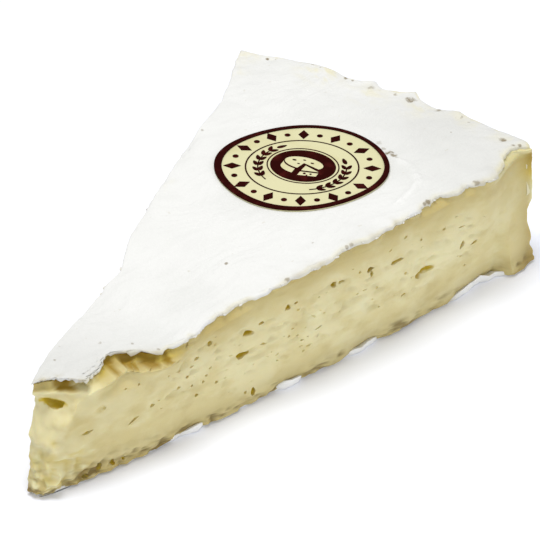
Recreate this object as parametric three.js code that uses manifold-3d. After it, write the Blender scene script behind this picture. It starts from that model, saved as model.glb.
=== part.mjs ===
// A wedge of soft white-rind cheese, cut from a flat round wheel, with its oval paper label.
// Millimetres, +Z up. While the shapes are made, the centre of the whole wheel is at 0, 0, the
// wedge's bisector is +X and the flat underside is at z = 0. At the end everything shifts, so
// that the middle of the underside is the origin.
import * as THREE from 'three';
import { mergeVertices } from 'three/addons/utils/BufferGeometryUtils.js';
import Module from 'manifold-3d';

const wasm = await Module();
wasm.setup();

// The wheel and the cut
const wheelRadius = 182;
const halfAngle = THREE.MathUtils.degToRad(15.05);
const rimHeight = 36;
const tipHeight = 31;

// The label lies on the rind, near the rim
const label = {
  distance: 131.4,
  aside: -1.3,
  halfLength: 23.9,
  halfWidth: 21.4,
  turn: THREE.MathUtils.degToRad(-58.4),
  thickness: 0.4,
  gap: 0.3,
};

// How finely the solid is meshed
const stepsAlong = 70;
const endCrowding = 0.35;
const labelSegments = 48;

// Surface relief
const topRelief = 0.3;
const faceRelief = 0.25;
const heelRelief = 0.5;
const edgeRaggedness = 0.7;

// A function through [place, value] pairs, flat beyond both ends.
function through(pairs) {
  return (place) => {
    const next = pairs.findIndex(([start]) => start > place);
    if (next === 0) return pairs[0][1];
    if (next < 0) return pairs[pairs.length - 1][1];
    const [from, low] = pairs[next - 1];
    const [to, high] = pairs[next];
    return THREE.MathUtils.mapLinear(place, from, to, low, high);
  };
}

// Smooth noise between -1 and 1: random values on a grid of whole numbers, blended between.
function gridValue(column, row) {
  const mixed = Math.sin(column * 127.1 + row * 311.7) * 43758.5453;
  return (mixed - Math.floor(mixed)) * 2 - 1;
}

function noise(x, y) {
  const column = Math.floor(x);
  const row = Math.floor(y);
  const across = THREE.MathUtils.smoothstep(x - column, 0, 1);
  const up = THREE.MathUtils.smoothstep(y - row, 0, 1);
  const low = THREE.MathUtils.lerp(gridValue(column, row), gridValue(column + 1, row), across);
  const high = THREE.MathUtils.lerp(gridValue(column, row + 1), gridValue(column + 1, row + 1), across);
  return THREE.MathUtils.lerp(low, high, up);
}

// Height of the rind over the distance from the wheel's centre
const topHeight = through([
  [40, tipHeight], [58, tipHeight + 0.5], [70, tipHeight + 1.8], [82, rimHeight - 1.4], [94, rimHeight],
  [108, rimHeight + 0.8], [140, rimHeight + 1], [160, rimHeight + 0.4], [wheelRadius, rimHeight - 0.2],
]);

// How far each edge of the front cut stands out of the straight cut, along it
const pasteBulge = through([
  [8, -1], [25, 0.6], [40, 1.6], [60, 2.4], [90, 3.8], [130, 4.3], [150, 4.2], [160, 3.6], [172, 2.6], [184, 0.6],
]);
const undersideEdge = through([
  [8, -0.8], [15, 0.2], [28, 1], [40, 2.4], [47, 2.6], [54, 2.1], [67, 3], [87, 3], [103, 3.4], [109, 3.6],
  [121, 2.6], [134, 3.2], [140, 2.4], [152, 1.9], [158, 0.9], [165, -0.2], [170, 0.6], [173, 3.4],
  [177, 2.8], [181, 1.5],
]);
const rindEdge = through([
  [20, 0.7], [24, 1.1], [31, -1.6], [36, -4.4], [40, -3], [43, 1.1], [50, 3], [59, 0.8], [71, 2.5],
  [82, 4.4], [93, 4.1], [109, 3.1], [127, 3.2], [144, 4], [151, 5], [157, 5.2], [163, 4], [170, 0.6],
  [176, -0.4], [182, -0.7],
]);

// Near the tip the paste stands out in a ridge below a groove under the rind
const tipRidge = through([[10, 0.4], [28, 1], [42, 1.2], [56, 0.2], [64, 0]]);
const tipGroove = through([[14, 2.4], [30, 1.6], [52, 1.6], [62, 0.5], [184, 0.5]]);
const backHollow = through([[8, 0], [20, 0.3], [35, 0], [50, -0.9], [100, -1], [140, 0], [170, 0.4], [184, 1]]);

const paste = (along) => pasteBulge(along);
const ridge = (along) => pasteBulge(along) + tipRidge(along);
const groove = (along) => Math.min(pasteBulge(along), rindEdge(along)) - tipGroove(along);
const ragged = (along) => rindEdge(along) + edgeRaggedness * noise(along * 0.45, 7.5);

// The layers that the outline is lofted through. up is a layer's share of the height, tip and
// heel are its distances from the wheel's centre, slant sets the tip back on the front side,
// and front says how far the front cut stands out.
const layers = [
  { up: 0, tip: 9.4, slant: 0, heel: 180, front: undersideEdge },
  { up: 0.03, tip: 8.2, slant: 0, heel: 182.6, front: (along) => undersideEdge(along) + 0.3 },
  { up: 0.08, tip: 7.6, slant: 0, heel: 182.4, front: (along) => paste(along) - 0.4 },
  { up: 0.16, tip: 7.4, slant: 0, heel: 181.8, front: paste },
  { up: 0.27, tip: 8.2, slant: 0, heel: 181.4, front: paste },
  { up: 0.39, tip: 9, slant: 0, heel: 181, front: paste },
  { up: 0.51, tip: 9.4, slant: 0, heel: 181.8, front: paste },
  { up: 0.62, tip: 10.6, slant: 0, heel: 182.3, front: paste },
  { up: 0.72, tip: 13, slant: 1, heel: 182.6, front: paste },
  { up: 0.81, tip: 13.9, slant: 2, heel: 182.8, front: ridge },
  { up: 0.87, tip: 14.4, slant: 3.5, heel: 182.8, front: ridge },
  { up: 0.92, tip: 16.6, slant: 5, heel: 182.6, front: groove },
  { up: 0.95, tip: 15.1, slant: 5, heel: 182.5, front: (along) => ragged(along) - 0.4 },
  { up: 0.985, tip: 14.8, slant: 5, heel: 182.3, front: ragged },
  { up: 1, tip: 15.2, slant: 5, heel: 181.8, front: (along) => ragged(along) - 0.4 },
];

// Shares of the width, crowded towards both cuts
const acrossShares = [0, 0.03, 0.1, 0.2, 0.31, 0.42, 0.5, 0.58, 0.69, 0.8, 0.9, 0.97, 1];

// Holes in the front cut: distance from the wheel's centre, height, length, height of the
// opening, depth, lean in degrees, and how far the opening lies behind the bulging paste.
const holes = [
  { along: 15.3, high: 24.6, long: 7, tall: 2.6, deep: 3.2, lean: -8, behind: 0.6 },
  { along: 22.5, high: 28.6, long: 5.5, tall: 2.2, deep: 2.4, lean: 4, behind: 2 },
  { along: 33.6, high: 28.9, long: 2.6, tall: 2.6, deep: 2.6, lean: 0, behind: 4.4 },
  { along: 38.8, high: 29, long: 4, tall: 3, deep: 3, lean: 0, behind: 4.2 },
  { along: 44.6, high: 28.9, long: 4, tall: 3, deep: 3, lean: 0, behind: 2.6 },
  { along: 50.5, high: 29.2, long: 3, tall: 2, deep: 2, lean: 0, behind: 1 },
  { along: 22.7, high: 15.6, long: 3.4, tall: 0.9, deep: 1.2, lean: 12, behind: 0 },
  { along: 37.3, high: 13.5, long: 4, tall: 1, deep: 1.2, lean: 10, behind: 0 },
  { along: 43.6, high: 15.6, long: 1.6, tall: 1.3, deep: 1.2, lean: 0, behind: 0 },
  { along: 58.5, high: 11.9, long: 1.4, tall: 1.5, deep: 1.2, lean: 0, behind: 0 },
  { along: 63.9, high: 25.9, long: 1.8, tall: 1.4, deep: 1.4, lean: 20, behind: 0 },
  { along: 52.5, high: 17.1, long: 1.4, tall: 1.2, deep: 1, lean: 0, behind: 0 },
  { along: 74.9, high: 17.8, long: 4, tall: 2, deep: 2, lean: 0, behind: 0 },
  { along: 77.5, high: 24.1, long: 4.4, tall: 1.2, deep: 1.6, lean: 6, behind: 0 },
  { along: 81.3, high: 18.5, long: 1.8, tall: 1, deep: 1, lean: -10, behind: 0 },
  { along: 89.1, high: 26.7, long: 2, tall: 1.4, deep: 1.4, lean: 15, behind: 0 },
  { along: 96.1, high: 21.1, long: 5, tall: 3, deep: 1, lean: -5, behind: 0 },
  { along: 105.9, high: 27.1, long: 3, tall: 2, deep: 2.2, lean: 0, behind: 0 },
  { along: 115.3, high: 20.9, long: 3.6, tall: 1.2, deep: 1.2, lean: 0, behind: 0 },
  { along: 118.4, high: 26.3, long: 2.2, tall: 2.2, deep: 2.4, lean: 0, behind: 0 },
  { along: 128.9, high: 24.1, long: 5.4, tall: 1.5, deep: 1.8, lean: 12, behind: 0 },
  { along: 139, high: 16.1, long: 6.6, tall: 2.6, deep: 3, lean: 8, behind: 0 },
  { along: 154.1, high: 18.6, long: 2.2, tall: 2.6, deep: 2.2, lean: 0, behind: 0 },
  { along: 159, high: 16.7, long: 2.6, tall: 1.2, deep: 1.2, lean: 25, behind: 0 },
  { along: 77.9, high: 4.4, long: 2.4, tall: 2.6, deep: 1.6, lean: 0, behind: 0.2 },
];

// 1 under the label and falling to 0 just outside it, so the relief fades out below it
function underLabel(x, y) {
  const dx = x - label.distance;
  const dy = y - label.aside;
  const long = (dx * Math.cos(label.turn) + dy * Math.sin(label.turn)) / label.halfLength;
  const wide = (dy * Math.cos(label.turn) - dx * Math.sin(label.turn)) / label.halfWidth;
  return 1 - THREE.MathUtils.smoothstep(Math.hypot(long, wide), 1.05, 1.3);
}

// Directions along each cut and out of it
const frontAlong = new THREE.Vector2(Math.cos(halfAngle), -Math.sin(halfAngle));
const frontOut = new THREE.Vector2(-Math.sin(halfAngle), -Math.cos(halfAngle));
const backOut = new THREE.Vector2(-Math.sin(halfAngle), Math.cos(halfAngle));

// The place in the wedge of a point of the unit box: along, across and layer number
function placeInWedge(along, across, layer) {
  const { up, tip, slant, heel, front } = layers[layer];
  const start = tip + slant * (1 - across);
  const distance = THREE.MathUtils.lerp(start, heel, along);
  const angle = THREE.MathUtils.lerp(-halfAngle, halfAngle, across);
  const z = up * topHeight(distance);
  const spot = new THREE.Vector2(Math.cos(angle), Math.sin(angle)).multiplyScalar(distance);

  const inside = up > 0.05 && up < 0.95;
  const frontRelief = inside ? faceRelief * noise(distance * 0.3, z * 0.35) : 0;
  const backRelief = faceRelief * 2 * noise(distance * 0.3, z * 0.35 + 40);
  spot.addScaledVector(frontOut, (front(distance) + frontRelief) * (1 - across) ** 2);
  spot.addScaledVector(backOut, (backHollow(distance) + backRelief) * across ** 2);

  const atHeel = THREE.MathUtils.smoothstep(along, 0.93, 1);
  spot.multiplyScalar(1 + (atHeel * heelRelief * noise(angle * 60, z * 0.3 + 80)) / wheelRadius);

  const edge = Math.min(across, 1 - across);
  const droop = up === 1 ? 0.6 * (1 - THREE.MathUtils.smoothstep(edge, 0, 0.06)) : 0;
  const relief = up === 1 ? topRelief * noise(spot.x * 0.16, spot.y * 0.16) : 0;
  return new THREE.Vector3(spot.x, spot.y, z - droop + relief * (1 - underLabel(spot.x, spot.y)));
}

// The uncut wedge: a box whose points are moved to their places
function wedgeGeometry() {
  const rows = layers.length - 1;
  const columns = acrossShares.length - 1;
  const geometry = new THREE.BoxGeometry(1, 1, 1, stepsAlong, columns, rows);
  geometry.deleteAttribute('normal');
  geometry.deleteAttribute('uv');
  const merged = mergeVertices(geometry);
  const position = merged.getAttribute('position');
  for (let index = 0; index < position.count; index += 1) {
    const even = position.getX(index) + 0.5;
    const along = even - (endCrowding * Math.sin(even * 2 * Math.PI)) / (2 * Math.PI);
    const across = acrossShares[Math.round((position.getY(index) + 0.5) * columns)];
    const layer = Math.round((position.getZ(index) + 0.5) * rows);
    const { x, y, z } = placeInWedge(along, across, layer);
    position.setXYZ(index, x, y, z);
  }
  return merged;
}

// A round-bottomed hole in the front cut, as the solid that is cut away
function holeGeometry({ along, high, long, tall, deep, lean, behind }) {
  const geometry = new THREE.IcosahedronGeometry(1, 1);
  geometry.scale(long / 2, deep, tall / 2);
  geometry.rotateY(THREE.MathUtils.degToRad(-lean));
  geometry.rotateZ(-halfAngle);
  const spot = frontAlong.clone().multiplyScalar(along);
  spot.addScaledVector(frontOut, pasteBulge(along) - behind);
  geometry.translate(spot.x, spot.y, high);
  return geometry;
}

function toSolid(geometry) {
  const bare = geometry.clone();
  bare.deleteAttribute('normal');
  bare.deleteAttribute('uv');
  const merged = mergeVertices(bare);
  const vertProperties = new Float32Array(merged.getAttribute('position').array);
  const triVerts = new Uint32Array(merged.getIndex().array);
  return new wasm.Manifold(new wasm.Mesh({ numProp: 3, vertProperties, triVerts }));
}

function toGeometry(solid) {
  const mesh = solid.getMesh();
  const geometry = new THREE.BufferGeometry();
  geometry.setAttribute('position', new THREE.BufferAttribute(mesh.vertProperties, 3));
  geometry.setIndex(new THREE.BufferAttribute(mesh.triVerts, 1));
  geometry.computeVertexNormals();
  return geometry;
}

function cheeseGeometry() {
  let solid = toSolid(wedgeGeometry());
  for (const hole of holes) {
    solid = solid.subtract(toSolid(holeGeometry(hole)));
  }
  return toGeometry(solid);
}

// The paper label: a thin oval plate that follows the rind
function labelGeometry() {
  const ring = [0, 0.35, 0.7, 1];
  const under = ring.map((share) => new THREE.Vector2(share, 0));
  const over = ring.map((share) => new THREE.Vector2(share, label.thickness)).reverse();
  const geometry = new THREE.LatheGeometry([...under, ...over], labelSegments);
  geometry.rotateX(Math.PI / 2);
  geometry.scale(label.halfLength, label.halfWidth, 1);
  geometry.rotateZ(label.turn);
  geometry.translate(label.distance, label.aside, 0);
  const position = geometry.getAttribute('position');
  for (let index = 0; index < position.count; index += 1) {
    const distance = Math.hypot(position.getX(index), position.getY(index));
    position.setZ(index, position.getZ(index) + topHeight(distance) + label.gap);
  }
  return toGeometry(toSolid(geometry));
}

function piece(name, geometry, color, roughness) {
  const mesh = new THREE.Mesh(geometry, new THREE.MeshStandardMaterial({ color, roughness, metalness: 0 }));
  mesh.name = name;
  return mesh;
}

const wedge = new THREE.Group();
wedge.add(piece('cheese', cheeseGeometry(), '#e9e5d2', 0.8));
wedge.add(piece('label', labelGeometry(), '#e3deb0', 0.6));

// The middle of the underside becomes the origin
const box = new THREE.Box3().setFromObject(wedge);
const middle = box.getCenter(new THREE.Vector3());
wedge.position.set(-middle.x, -middle.y, -box.min.z);

export default wedge;
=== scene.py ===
import math
import random

import bpy
import numpy as np
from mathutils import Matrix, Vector, noise


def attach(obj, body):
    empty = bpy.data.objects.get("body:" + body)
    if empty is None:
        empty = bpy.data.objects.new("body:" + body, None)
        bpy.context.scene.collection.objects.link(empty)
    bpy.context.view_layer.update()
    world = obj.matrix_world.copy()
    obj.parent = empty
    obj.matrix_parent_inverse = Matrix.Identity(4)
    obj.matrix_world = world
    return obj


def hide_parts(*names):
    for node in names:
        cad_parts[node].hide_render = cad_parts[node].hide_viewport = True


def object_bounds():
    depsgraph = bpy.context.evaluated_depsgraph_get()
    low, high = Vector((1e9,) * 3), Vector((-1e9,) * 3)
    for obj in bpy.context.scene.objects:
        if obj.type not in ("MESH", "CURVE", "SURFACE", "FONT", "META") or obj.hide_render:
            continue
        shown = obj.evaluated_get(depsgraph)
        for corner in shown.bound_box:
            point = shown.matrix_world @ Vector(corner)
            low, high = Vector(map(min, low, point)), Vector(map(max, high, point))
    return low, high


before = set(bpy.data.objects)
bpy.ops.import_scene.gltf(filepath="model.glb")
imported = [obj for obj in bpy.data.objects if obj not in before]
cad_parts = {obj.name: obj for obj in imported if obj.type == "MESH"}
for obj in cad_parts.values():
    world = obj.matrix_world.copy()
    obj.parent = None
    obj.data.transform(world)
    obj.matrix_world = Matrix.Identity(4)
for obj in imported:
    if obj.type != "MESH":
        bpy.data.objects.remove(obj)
cadLow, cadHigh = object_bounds()
mm = 0.001

# The wheel that the wedge was cut from. Its centre is behind the tip, and the cuts run out from
# it. Distances along a cut, offsets out of it and heights are in millimetres below.
wheel = {
    "centre": (cadHigh.x / mm - 182.63, 0.22),
    "radius": 182.0,
    "halfAngle": math.radians(15.05),
}


# smooth curve through (place, value) pairs, level beyond both ends
def curveThrough(pairs):
    places, values = np.array(pairs, float).T
    slopes = np.gradient(values, places)

    def at(s):
        s = np.clip(s, places[0], places[-1])
        i = np.clip(np.searchsorted(places, s, side="right") - 1, 0, len(places) - 2)
        width = places[i + 1] - places[i]
        t = (s - places[i]) / width
        start = (2 * t**3 - 3 * t**2 + 1) * values[i] + (t**3 - 2 * t**2 + t) * width * slopes[i]
        end = (3 * t**2 - 2 * t**3) * values[i + 1] + (t**3 - t**2) * width * slopes[i + 1]
        return start + end

    return at


def smoothStep(low, high, x):
    t = np.clip((np.asarray(x, float) - low) / (high - low), 0, 1)
    return t * t * (3 - 2 * t)


# 1 below low and 0 above high
def fade(low, high, x):
    return 1 - smoothStep(low, high, x)


def mix(low, high, share):
    return low + (high - low) * share


def turnPlace(x, y, turn):
    c, si = math.cos(turn), math.sin(turn)
    return x * c - y * si, x * si + y * c


# 1 at a place, falling off on both sides of it
def bell(x, place, half):
    return np.exp(-(((x - place) / half) ** 2))


# the same round a spot
def spotBell(x, y, spotX, spotY, radius):
    return np.exp(-(((x - spotX) ** 2 + (y - spotY) ** 2) / radius**2))


# fractal noise, about -1 to 1, at points given as columns; size is the width of its lumps
def lumps(x, y, z, size, octaves=3, seed=0):
    shift = Vector((seed * 17.3, seed * 5.1, seed * 31.7))
    points = np.column_stack(np.broadcast_arrays(x, y, z)) / size
    return np.array([noise.fractal(Vector(p) + shift, 1.0, 2.0, octaves) for p in points])


# a 0 to 1 bump at each (place, half width) pair
def bumpsAt(pairs, s):
    total = np.zeros(np.shape(s))
    for place, half in pairs:
        total = np.maximum(total, fade(0.55, 1.0, np.abs(s - place) / half))
    return total


# the shape of the wedge, read from one cut to the other
shape = {
    "topHeight": [(0, 31), (40, 31), (58, 31.5), (70, 32.8), (82, 34.6), (94, 36), (108, 36.8),
                  (140, 37), (160, 36.5), (182, 36)],
    # offsets out of the front cut: the rind's edge, the paste a little below it, the foot
    "rindEdge": [(14, -0.6), (20, -0.5), (24, 0.1), (26, -0.2), (28.5, -1), (30.6, -1.7),
                 (33, -3.6), (35, -5), (38.4, -4.3), (40.1, -2.8), (42.2, -1.6), (43.6, -0.4),
                 (45, 1.8), (48.7, 2.8), (54.6, 3.1), (58, 2.8), (62.4, 1.9), (67.9, 1.4),
                 (71, 1.6), (75.6, 2), (81.5, 3), (88, 4.2), (92.7, 5), (97.8, 5.2), (105.6, 4.6),
                 (112.4, 4.8), (116.6, 5.6), (122, 5.4), (129, 4.2), (137.7, 3.2), (142.6, 2),
                 (146.3, 2), (149, 2.8), (152, 3.7), (156.2, 2.4), (160, 3.2), (164.8, 3.5),
                 (170, 0.4), (173.6, -2.2), (177.8, -3.9), (180.4, -2.7), (182.3, -1.2), (184, -1)],
    "upperPaste": [(8, -1), (20, 0), (27, 1.8), (35, 2.3), (45, 2.8), (55, 2.9), (65, 2.4),
                   (75, 2.7), (85, 3.6), (95, 4.6), (110, 4.6), (120, 5), (130, 4.4), (145, 3.2),
                   (155, 3.4), (163, 3.6), (168, 2), (171, 0.6), (175, -1.1), (179, -2.3),
                   (181.5, -2.2), (184, -1.4)],
    "foot": [(8, -0.8), (15, 0.5), (20, 1), (28, 1.2), (40, 2.4), (47, 2.6), (54, 2.1), (67, 3),
             (87, 3), (103, 3.4), (109, 3.6), (121, 2.6), (134, 3.2), (140, 2.4), (152, 1.9),
             (158, 0.9), (166, -0.2), (170, 0.4), (171.8, 3.5), (174.5, 3.6), (178, 2.9), (181, 2)],
    "belly": [(8, 0), (30, 0.5), (60, 0.8), (150, 0.8), (172, 0.4), (184, 0)],
    # the back cut is a little hollow, with a worn dent and a fuller tip
    "back": [(8, 0.4), (16, 0.9), (22, 1.4), (35, 1.5), (40, 0.8), (45, 0.2), (50, -0.7),
             (55, -1.1), (60, -1.7), (64, -1.7), (69, -3.2), (73, -2.8), (77, -2.1), (82, -1.5),
             (94, -1.6), (100, -1.3), (110, -1.6), (125, -1.8), (136, -1.7), (147, -1.9),
             (153, -2.2), (160, -1.3), (165, -0.9), (171, 0.4), (177, 1.5), (184, 2)],
    # by share of the height: where the tip starts, and how far its front side is set back
    "tip": [(0, 7.9), (0.04, 7.7), (0.1, 9.3), (0.18, 10.3), (0.3, 11.4), (0.38, 12.3), (0.5, 12.2),
            (0.58, 13.3), (0.66, 15), (0.72, 16.6), (0.79, 17.1), (0.835, 16.6), (0.87, 15.8),
            (0.905, 15), (0.93, 15.2), (0.95, 15.4), (1, 15.6)],
    "tipSlant": [(0, 0), (0.6, 0.3), (0.72, 1), (0.82, 3), (0.87, 5.6), (0.905, 7.4), (0.94, 9.4),
                 (1, 10.6)],
    # by height: the heel's radius, and how the corner by the front cut differs from it
    "heel": [(0, 181), (1, 182.2), (4, 182.2), (10, 181.8), (18, 182.3), (30, 182.9), (34.4, 182.8),
             (36, 182.4)],
    "cornerHeel": [(0, 1.1), (1, 0.7), (2.4, -0.2), (4.2, 0.2), (6, -0.5), (8, 0.4), (10, 0.2),
                   (14, -0.8), (17.2, -0.6), (19.3, 0.5), (22, 0.6), (30, 0.3), (36, 0.4)],
    # by place across the wheel: how the rim wanders
    "rimOut": [(-48, 0.4), (-46, 1.5), (-43, 1.6), (-39, 1.4), (-36, 0.6), (-28, 0.5), (-24, 0.4),
               (-21, 1.2), (-18, -0.4), (-15, -1.7), (-12, -1.2), (-8, 0.1), (-5, 2.4), (-3, 0.2),
               (0, -0.4), (4, -1.2), (7, 1), (11, -0.8), (15, -1.2), (21, 0.8), (35, 0.8),
               (44, 0.4), (48, 1)],
    # under the tip's rind: how far below the paste's top its lip lies, and how far that is set back
    "lipBelow": [(12, 2.7), (24, 2.5), (30, 1.9), (34, 1.6), (38, 1.6), (41, 2.4), (45, 2.7),
                 (60, 2.7)],
    "lipBack": [(14, 0), (24, 0.3), (31, 1.1), (35, 2), (37.6, 2.2), (39.4, 0.8), (41, 0), (60, 0)],
    # by share of the paste's lower rows: the height share of each, with more rows at the foot
    "rows": [(0, 0), (0.08, 0.016), (0.19, 0.065), (0.55, 0.46), (0.9, 0.88), (1, 1)],
}
curves = {name: curveThrough(pairs) for name, pairs in shape.items()}

# white patches of the underside's rind that curl up over the foot: place and half width
curledFoot = [(15.5, 1.6), (52.4, 1.8), (58.9, 3.6), (75, 1.5), (91.3, 5.6), (117.4, 7.2),
              (162, 12)]

# under the tip's rind a lip of paste stands out, with a torn ledge behind it
tipLip = {
    "reach": 58,
    "fadeOver": 12,
    "out": 0.8,
    "stepIn": 0.25,
    "cave": 1.8,
    # pits in the ledge: along, offset, half length, half width, depth
    "pits": [(35.7, -5, 1.6, 2.0, 1.0), (39.9, -3.5, 2.3, 2.2, 1.6), (44.3, -1.2, 2.1, 2.0, 1.5),
             (48.9, 0.5, 1.5, 1.4, 0.7)],
    # hollows in the tip's end: across, half width, depth
    "endHollows": [(-3.5, 1.6, 2.8), (0.3, 0.8, 1.6)],
    # stretches right under the rind that are painted dark as shade, the first also with a deeper
    # cave: along, half length
    "shadeUnderRind": [(20.6, 2.7), (34.4, 1.5), (39.6, 2.2), (44.2, 2.3), (48.4, 1.4)],
    # where the rind hangs over the ledge in ragged bits: along, half length, how far down
    "drips": [(17.2, 0.4, 0.5), (18.6, 0.6, 0.8), (20.3, 0.4, 0.4), (21.9, 0.4, 0.9),
              (22.8, 0.6, 0.5), (24.4, 0.5, 0.9), (26.5, 0.6, 0.7), (29.5, 0.5, 0.5),
              (32, 0.5, 0.6), (36.9, 0.5, 1.0), (38, 0.4, 0.5), (41.3, 0.6, 1.6), (42.2, 0.5, 1.0),
              (46.4, 0.6, 1.1), (47.4, 0.4, 0.6), (50.4, 0.6, 0.9), (53, 0.5, 0.6)],
}

# the crack below the lip runs round the corner between the tip's end and the front cut
tipCrack = {
    "middle": (17.4, 0.6),
    "heading": math.radians(-70),
    # along, height, length, its own height, depth, lean in degrees
    "hole": (0.0, 24.0, 7.6, 3.2, 2.8, -7),
    # share of its height above the middle that is left, and how much one end narrows
    "flatTop": 0.25,
    "taper": 1.0,
    # where it is painted golden as the shade inside it: middle height, half length, depth, and the
    # half height, which grows along it
    "toneHeight": 23.7,
    "toneLength": 3.9,
    "toneDepth": 4.6,
    "toneTall": 1.35,
    "toneWiden": 0.17,
    "toneSlope": 0.12,
}


# directions along a cut and out of it
def cutRun(angle):
    c, si = math.cos(angle), math.sin(angle)
    return np.array([c, si]), np.array([si, -c])


frontAlong, frontOut = cutRun(-wheel["halfAngle"])
cutDirections = {
    "front": (frontAlong, frontOut),
    "back": (frontAlong * (1, -1), frontOut * (1, -1)),
    "tip": cutRun(tipCrack["heading"]),
}


# a point's distance along a cut and its offset out of it
def byCut(side, x, y):
    heading, outward = cutDirections[side]
    return x * heading[0] + y * heading[1], x * outward[0] + y * outward[1]


# points moved out of both cuts by their offsets, less and less across the wedge
def pushOut(x, y, across, front, back):
    (frontX, frontY), (backX, backY) = cutDirections["front"][1], cutDirections["back"][1]
    toFront, toBack = (1 - across) ** 2, across**2
    x = x + frontX * front * toFront + backX * back * toBack
    y = y + frontY * front * toFront + backY * back * toBack
    return x, y


# sum of (place, half width, size) bells
def hollowsAt(hollows, place):
    return sum(depth * bell(place, middle, half) for middle, half, depth in hollows)


# where the front cut lies, by distance along it and share of the height
def frontOffset(s, up):
    low, high = pasteHeights(s)
    above, below = (high - low) * up, (high - low) * (1 - up)
    upper, foot = curves["upperPaste"](s), curves["foot"](s)
    face = mix(foot, upper, np.clip(up / 0.85, 0, 1)) + curves["belly"](s) * 4 * up * (1 - up)
    nearTip = fade(tipLip["reach"] - tipLip["fadeOver"], tipLip["reach"], s)
    lipBelow = curves["lipBelow"](s)
    lip = tipLip["out"] * bell(below, lipBelow, 0.8)
    step = tipLip["stepIn"] * bell(below - lipBelow, 2.3, 1.2) * fade(28, 46, s)
    shoulder = curves["lipBack"](s) * fade(lipBelow + 0.5, lipBelow + 5, below)
    face = face + nearTip * (lip - step) - shoulder
    # elsewhere the paste meets the rind's edge, with a wide worn bevel by the heel
    edge = np.minimum(curves["rindEdge"](s), upper + 0.6) - 0.1
    meet = fade(0.1, mix(2.2, 1.5, smoothStep(163, 172, s)), below)
    caveDepth = mix(0.4, 1, smoothStep(27, 33, s) + bumpsAt(tipLip["shadeUnderRind"][:1], s))
    wall = edge + 0.7 - tipLip["cave"] * caveDepth * fade(0, lipBelow - 0.6, below)
    ledge = fade(lipBelow - 0.75, lipBelow - 0.1, below)
    face = mix(mix(face, edge, meet), mix(face, wall, ledge), nearTip)
    return face - 0.55 * bumpsAt(curledFoot, s) * fade(0.9, 2.4, above)


# 0 to 1 in the pits of the ledge, by place along the cut and offset out of it
def inPits(s, out, spread=1.0):
    share, depth = np.zeros(np.shape(s)), np.zeros(np.shape(s))
    for place, offset, halfLength, halfWidth, down in tipLip["pits"]:
        far = np.hypot((s - place) / halfLength, (out - offset) / halfWidth) / spread
        share = np.maximum(share, fade(0.3, 1.0, far))
        depth = depth + down * np.exp(-((1.5 * far) ** 2))
    return share, depth


# how far the heel stands out from its even curve
def heelShift(y, z, s, fromFront):
    rim = curves["rimOut"](y) * smoothStep(160, 180, s) * smoothStep(10, 30, z)
    corner = curves["cornerHeel"](z) * bell(fromFront, 0, 6) * smoothStep(174, 181, s)
    return rim + corner


def backOffset(s, up):
    return curves["back"](s) + 0.4 * 4 * up * (1 - up) - 0.3


def toMetres(x, y, z):
    centreX, centreY = wheel["centre"]
    return np.column_stack([x + centreX, y + centreY, z]) * mm


def fromMetres(points):
    centreX, centreY = wheel["centre"]
    x, y, z = (np.asarray(points) / mm).T
    return x - centreX, y - centreY, z


def deselectAll():
    if bpy.context.object and bpy.context.object.mode != "OBJECT":
        bpy.ops.object.mode_set(mode="OBJECT")
    bpy.ops.object.select_all(action="DESELECT")


def selectOnly(piece):
    deselectAll()
    bpy.context.view_layer.objects.active = piece
    piece.select_set(True)


def readPoints(piece):
    flat = np.empty(len(piece.data.vertices) * 3)
    piece.data.vertices.foreach_get("co", flat)
    return flat.reshape(-1, 3)


def movePoints(piece, points):
    piece.data.vertices.foreach_set("co", np.asarray(points, float).ravel())
    piece.data.update()


# A unit cube cut evenly along X, Y and Z: the start of the wedge's big pieces. More cuts than the
# operator takes at once are made in two goes, so such a number of steps is even.
def cutCube(name, stepsX, stepsY, stepsZ):
    deselectAll()
    bpy.ops.mesh.primitive_cube_add(size=1)
    piece = bpy.context.object
    piece.name = name
    mostCuts = 450
    for axis, steps in enumerate((stepsX, stepsY, stepsZ)):
        for part in ([steps] if steps <= mostCuts else [2, steps // 2]):
            mesh = piece.data
            points = readPoints(piece)
            ends = np.empty(len(mesh.edges) * 2, int)
            mesh.edges.foreach_get("vertices", ends)
            run = np.abs(points[ends[::2]] - points[ends[1::2]])
            bpy.ops.object.mode_set(mode="EDIT")
            bpy.ops.mesh.select_mode(type="EDGE")
            bpy.ops.mesh.select_all(action="DESELECT")
            bpy.ops.object.mode_set(mode="OBJECT")
            mesh.edges.foreach_set("select", run[:, axis] > 1e-6)
            bpy.ops.object.mode_set(mode="EDIT")
            bpy.ops.mesh.subdivide(number_cuts=part - 1)
            bpy.ops.object.mode_set(mode="OBJECT")
    return piece


# whole-number places of a cut cube's points
def stepsOf(piece, stepsX, stepsY, stepsZ):
    return np.rint((readPoints(piece) + 0.5) * (stepsX, stepsY, stepsZ)).astype(int).T


def applyModifier(piece, kind, **settings):
    selectOnly(piece)
    modifier = piece.modifiers.new(kind.title(), kind)
    for key, value in settings.items():
        setattr(modifier, key, value)
    bpy.ops.object.modifier_apply(modifier=modifier.name)


def smoothShade(piece, degrees=40):
    selectOnly(piece)
    bpy.ops.object.shade_smooth_by_angle(angle=math.radians(degrees))


def setAttribute(piece, name, values):
    tone = piece.data.attributes.new(name, "FLOAT", "POINT")
    tone.data.foreach_set("value", np.clip(np.asarray(values, float), 0, 1))


# the same share of each tone all over a piece
def evenTones(piece, **tones):
    for name, share in tones.items():
        setAttribute(piece, name, np.full(len(piece.data.vertices), share))


def joinPieces(pieces, name):
    deselectAll()
    for piece in pieces:
        piece.select_set(True)
    bpy.context.view_layer.objects.active = pieces[0]
    if len(pieces) > 1:
        bpy.ops.object.join()
    joined = bpy.context.object
    joined.name = name
    joined.data.name = name
    return joined


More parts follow.
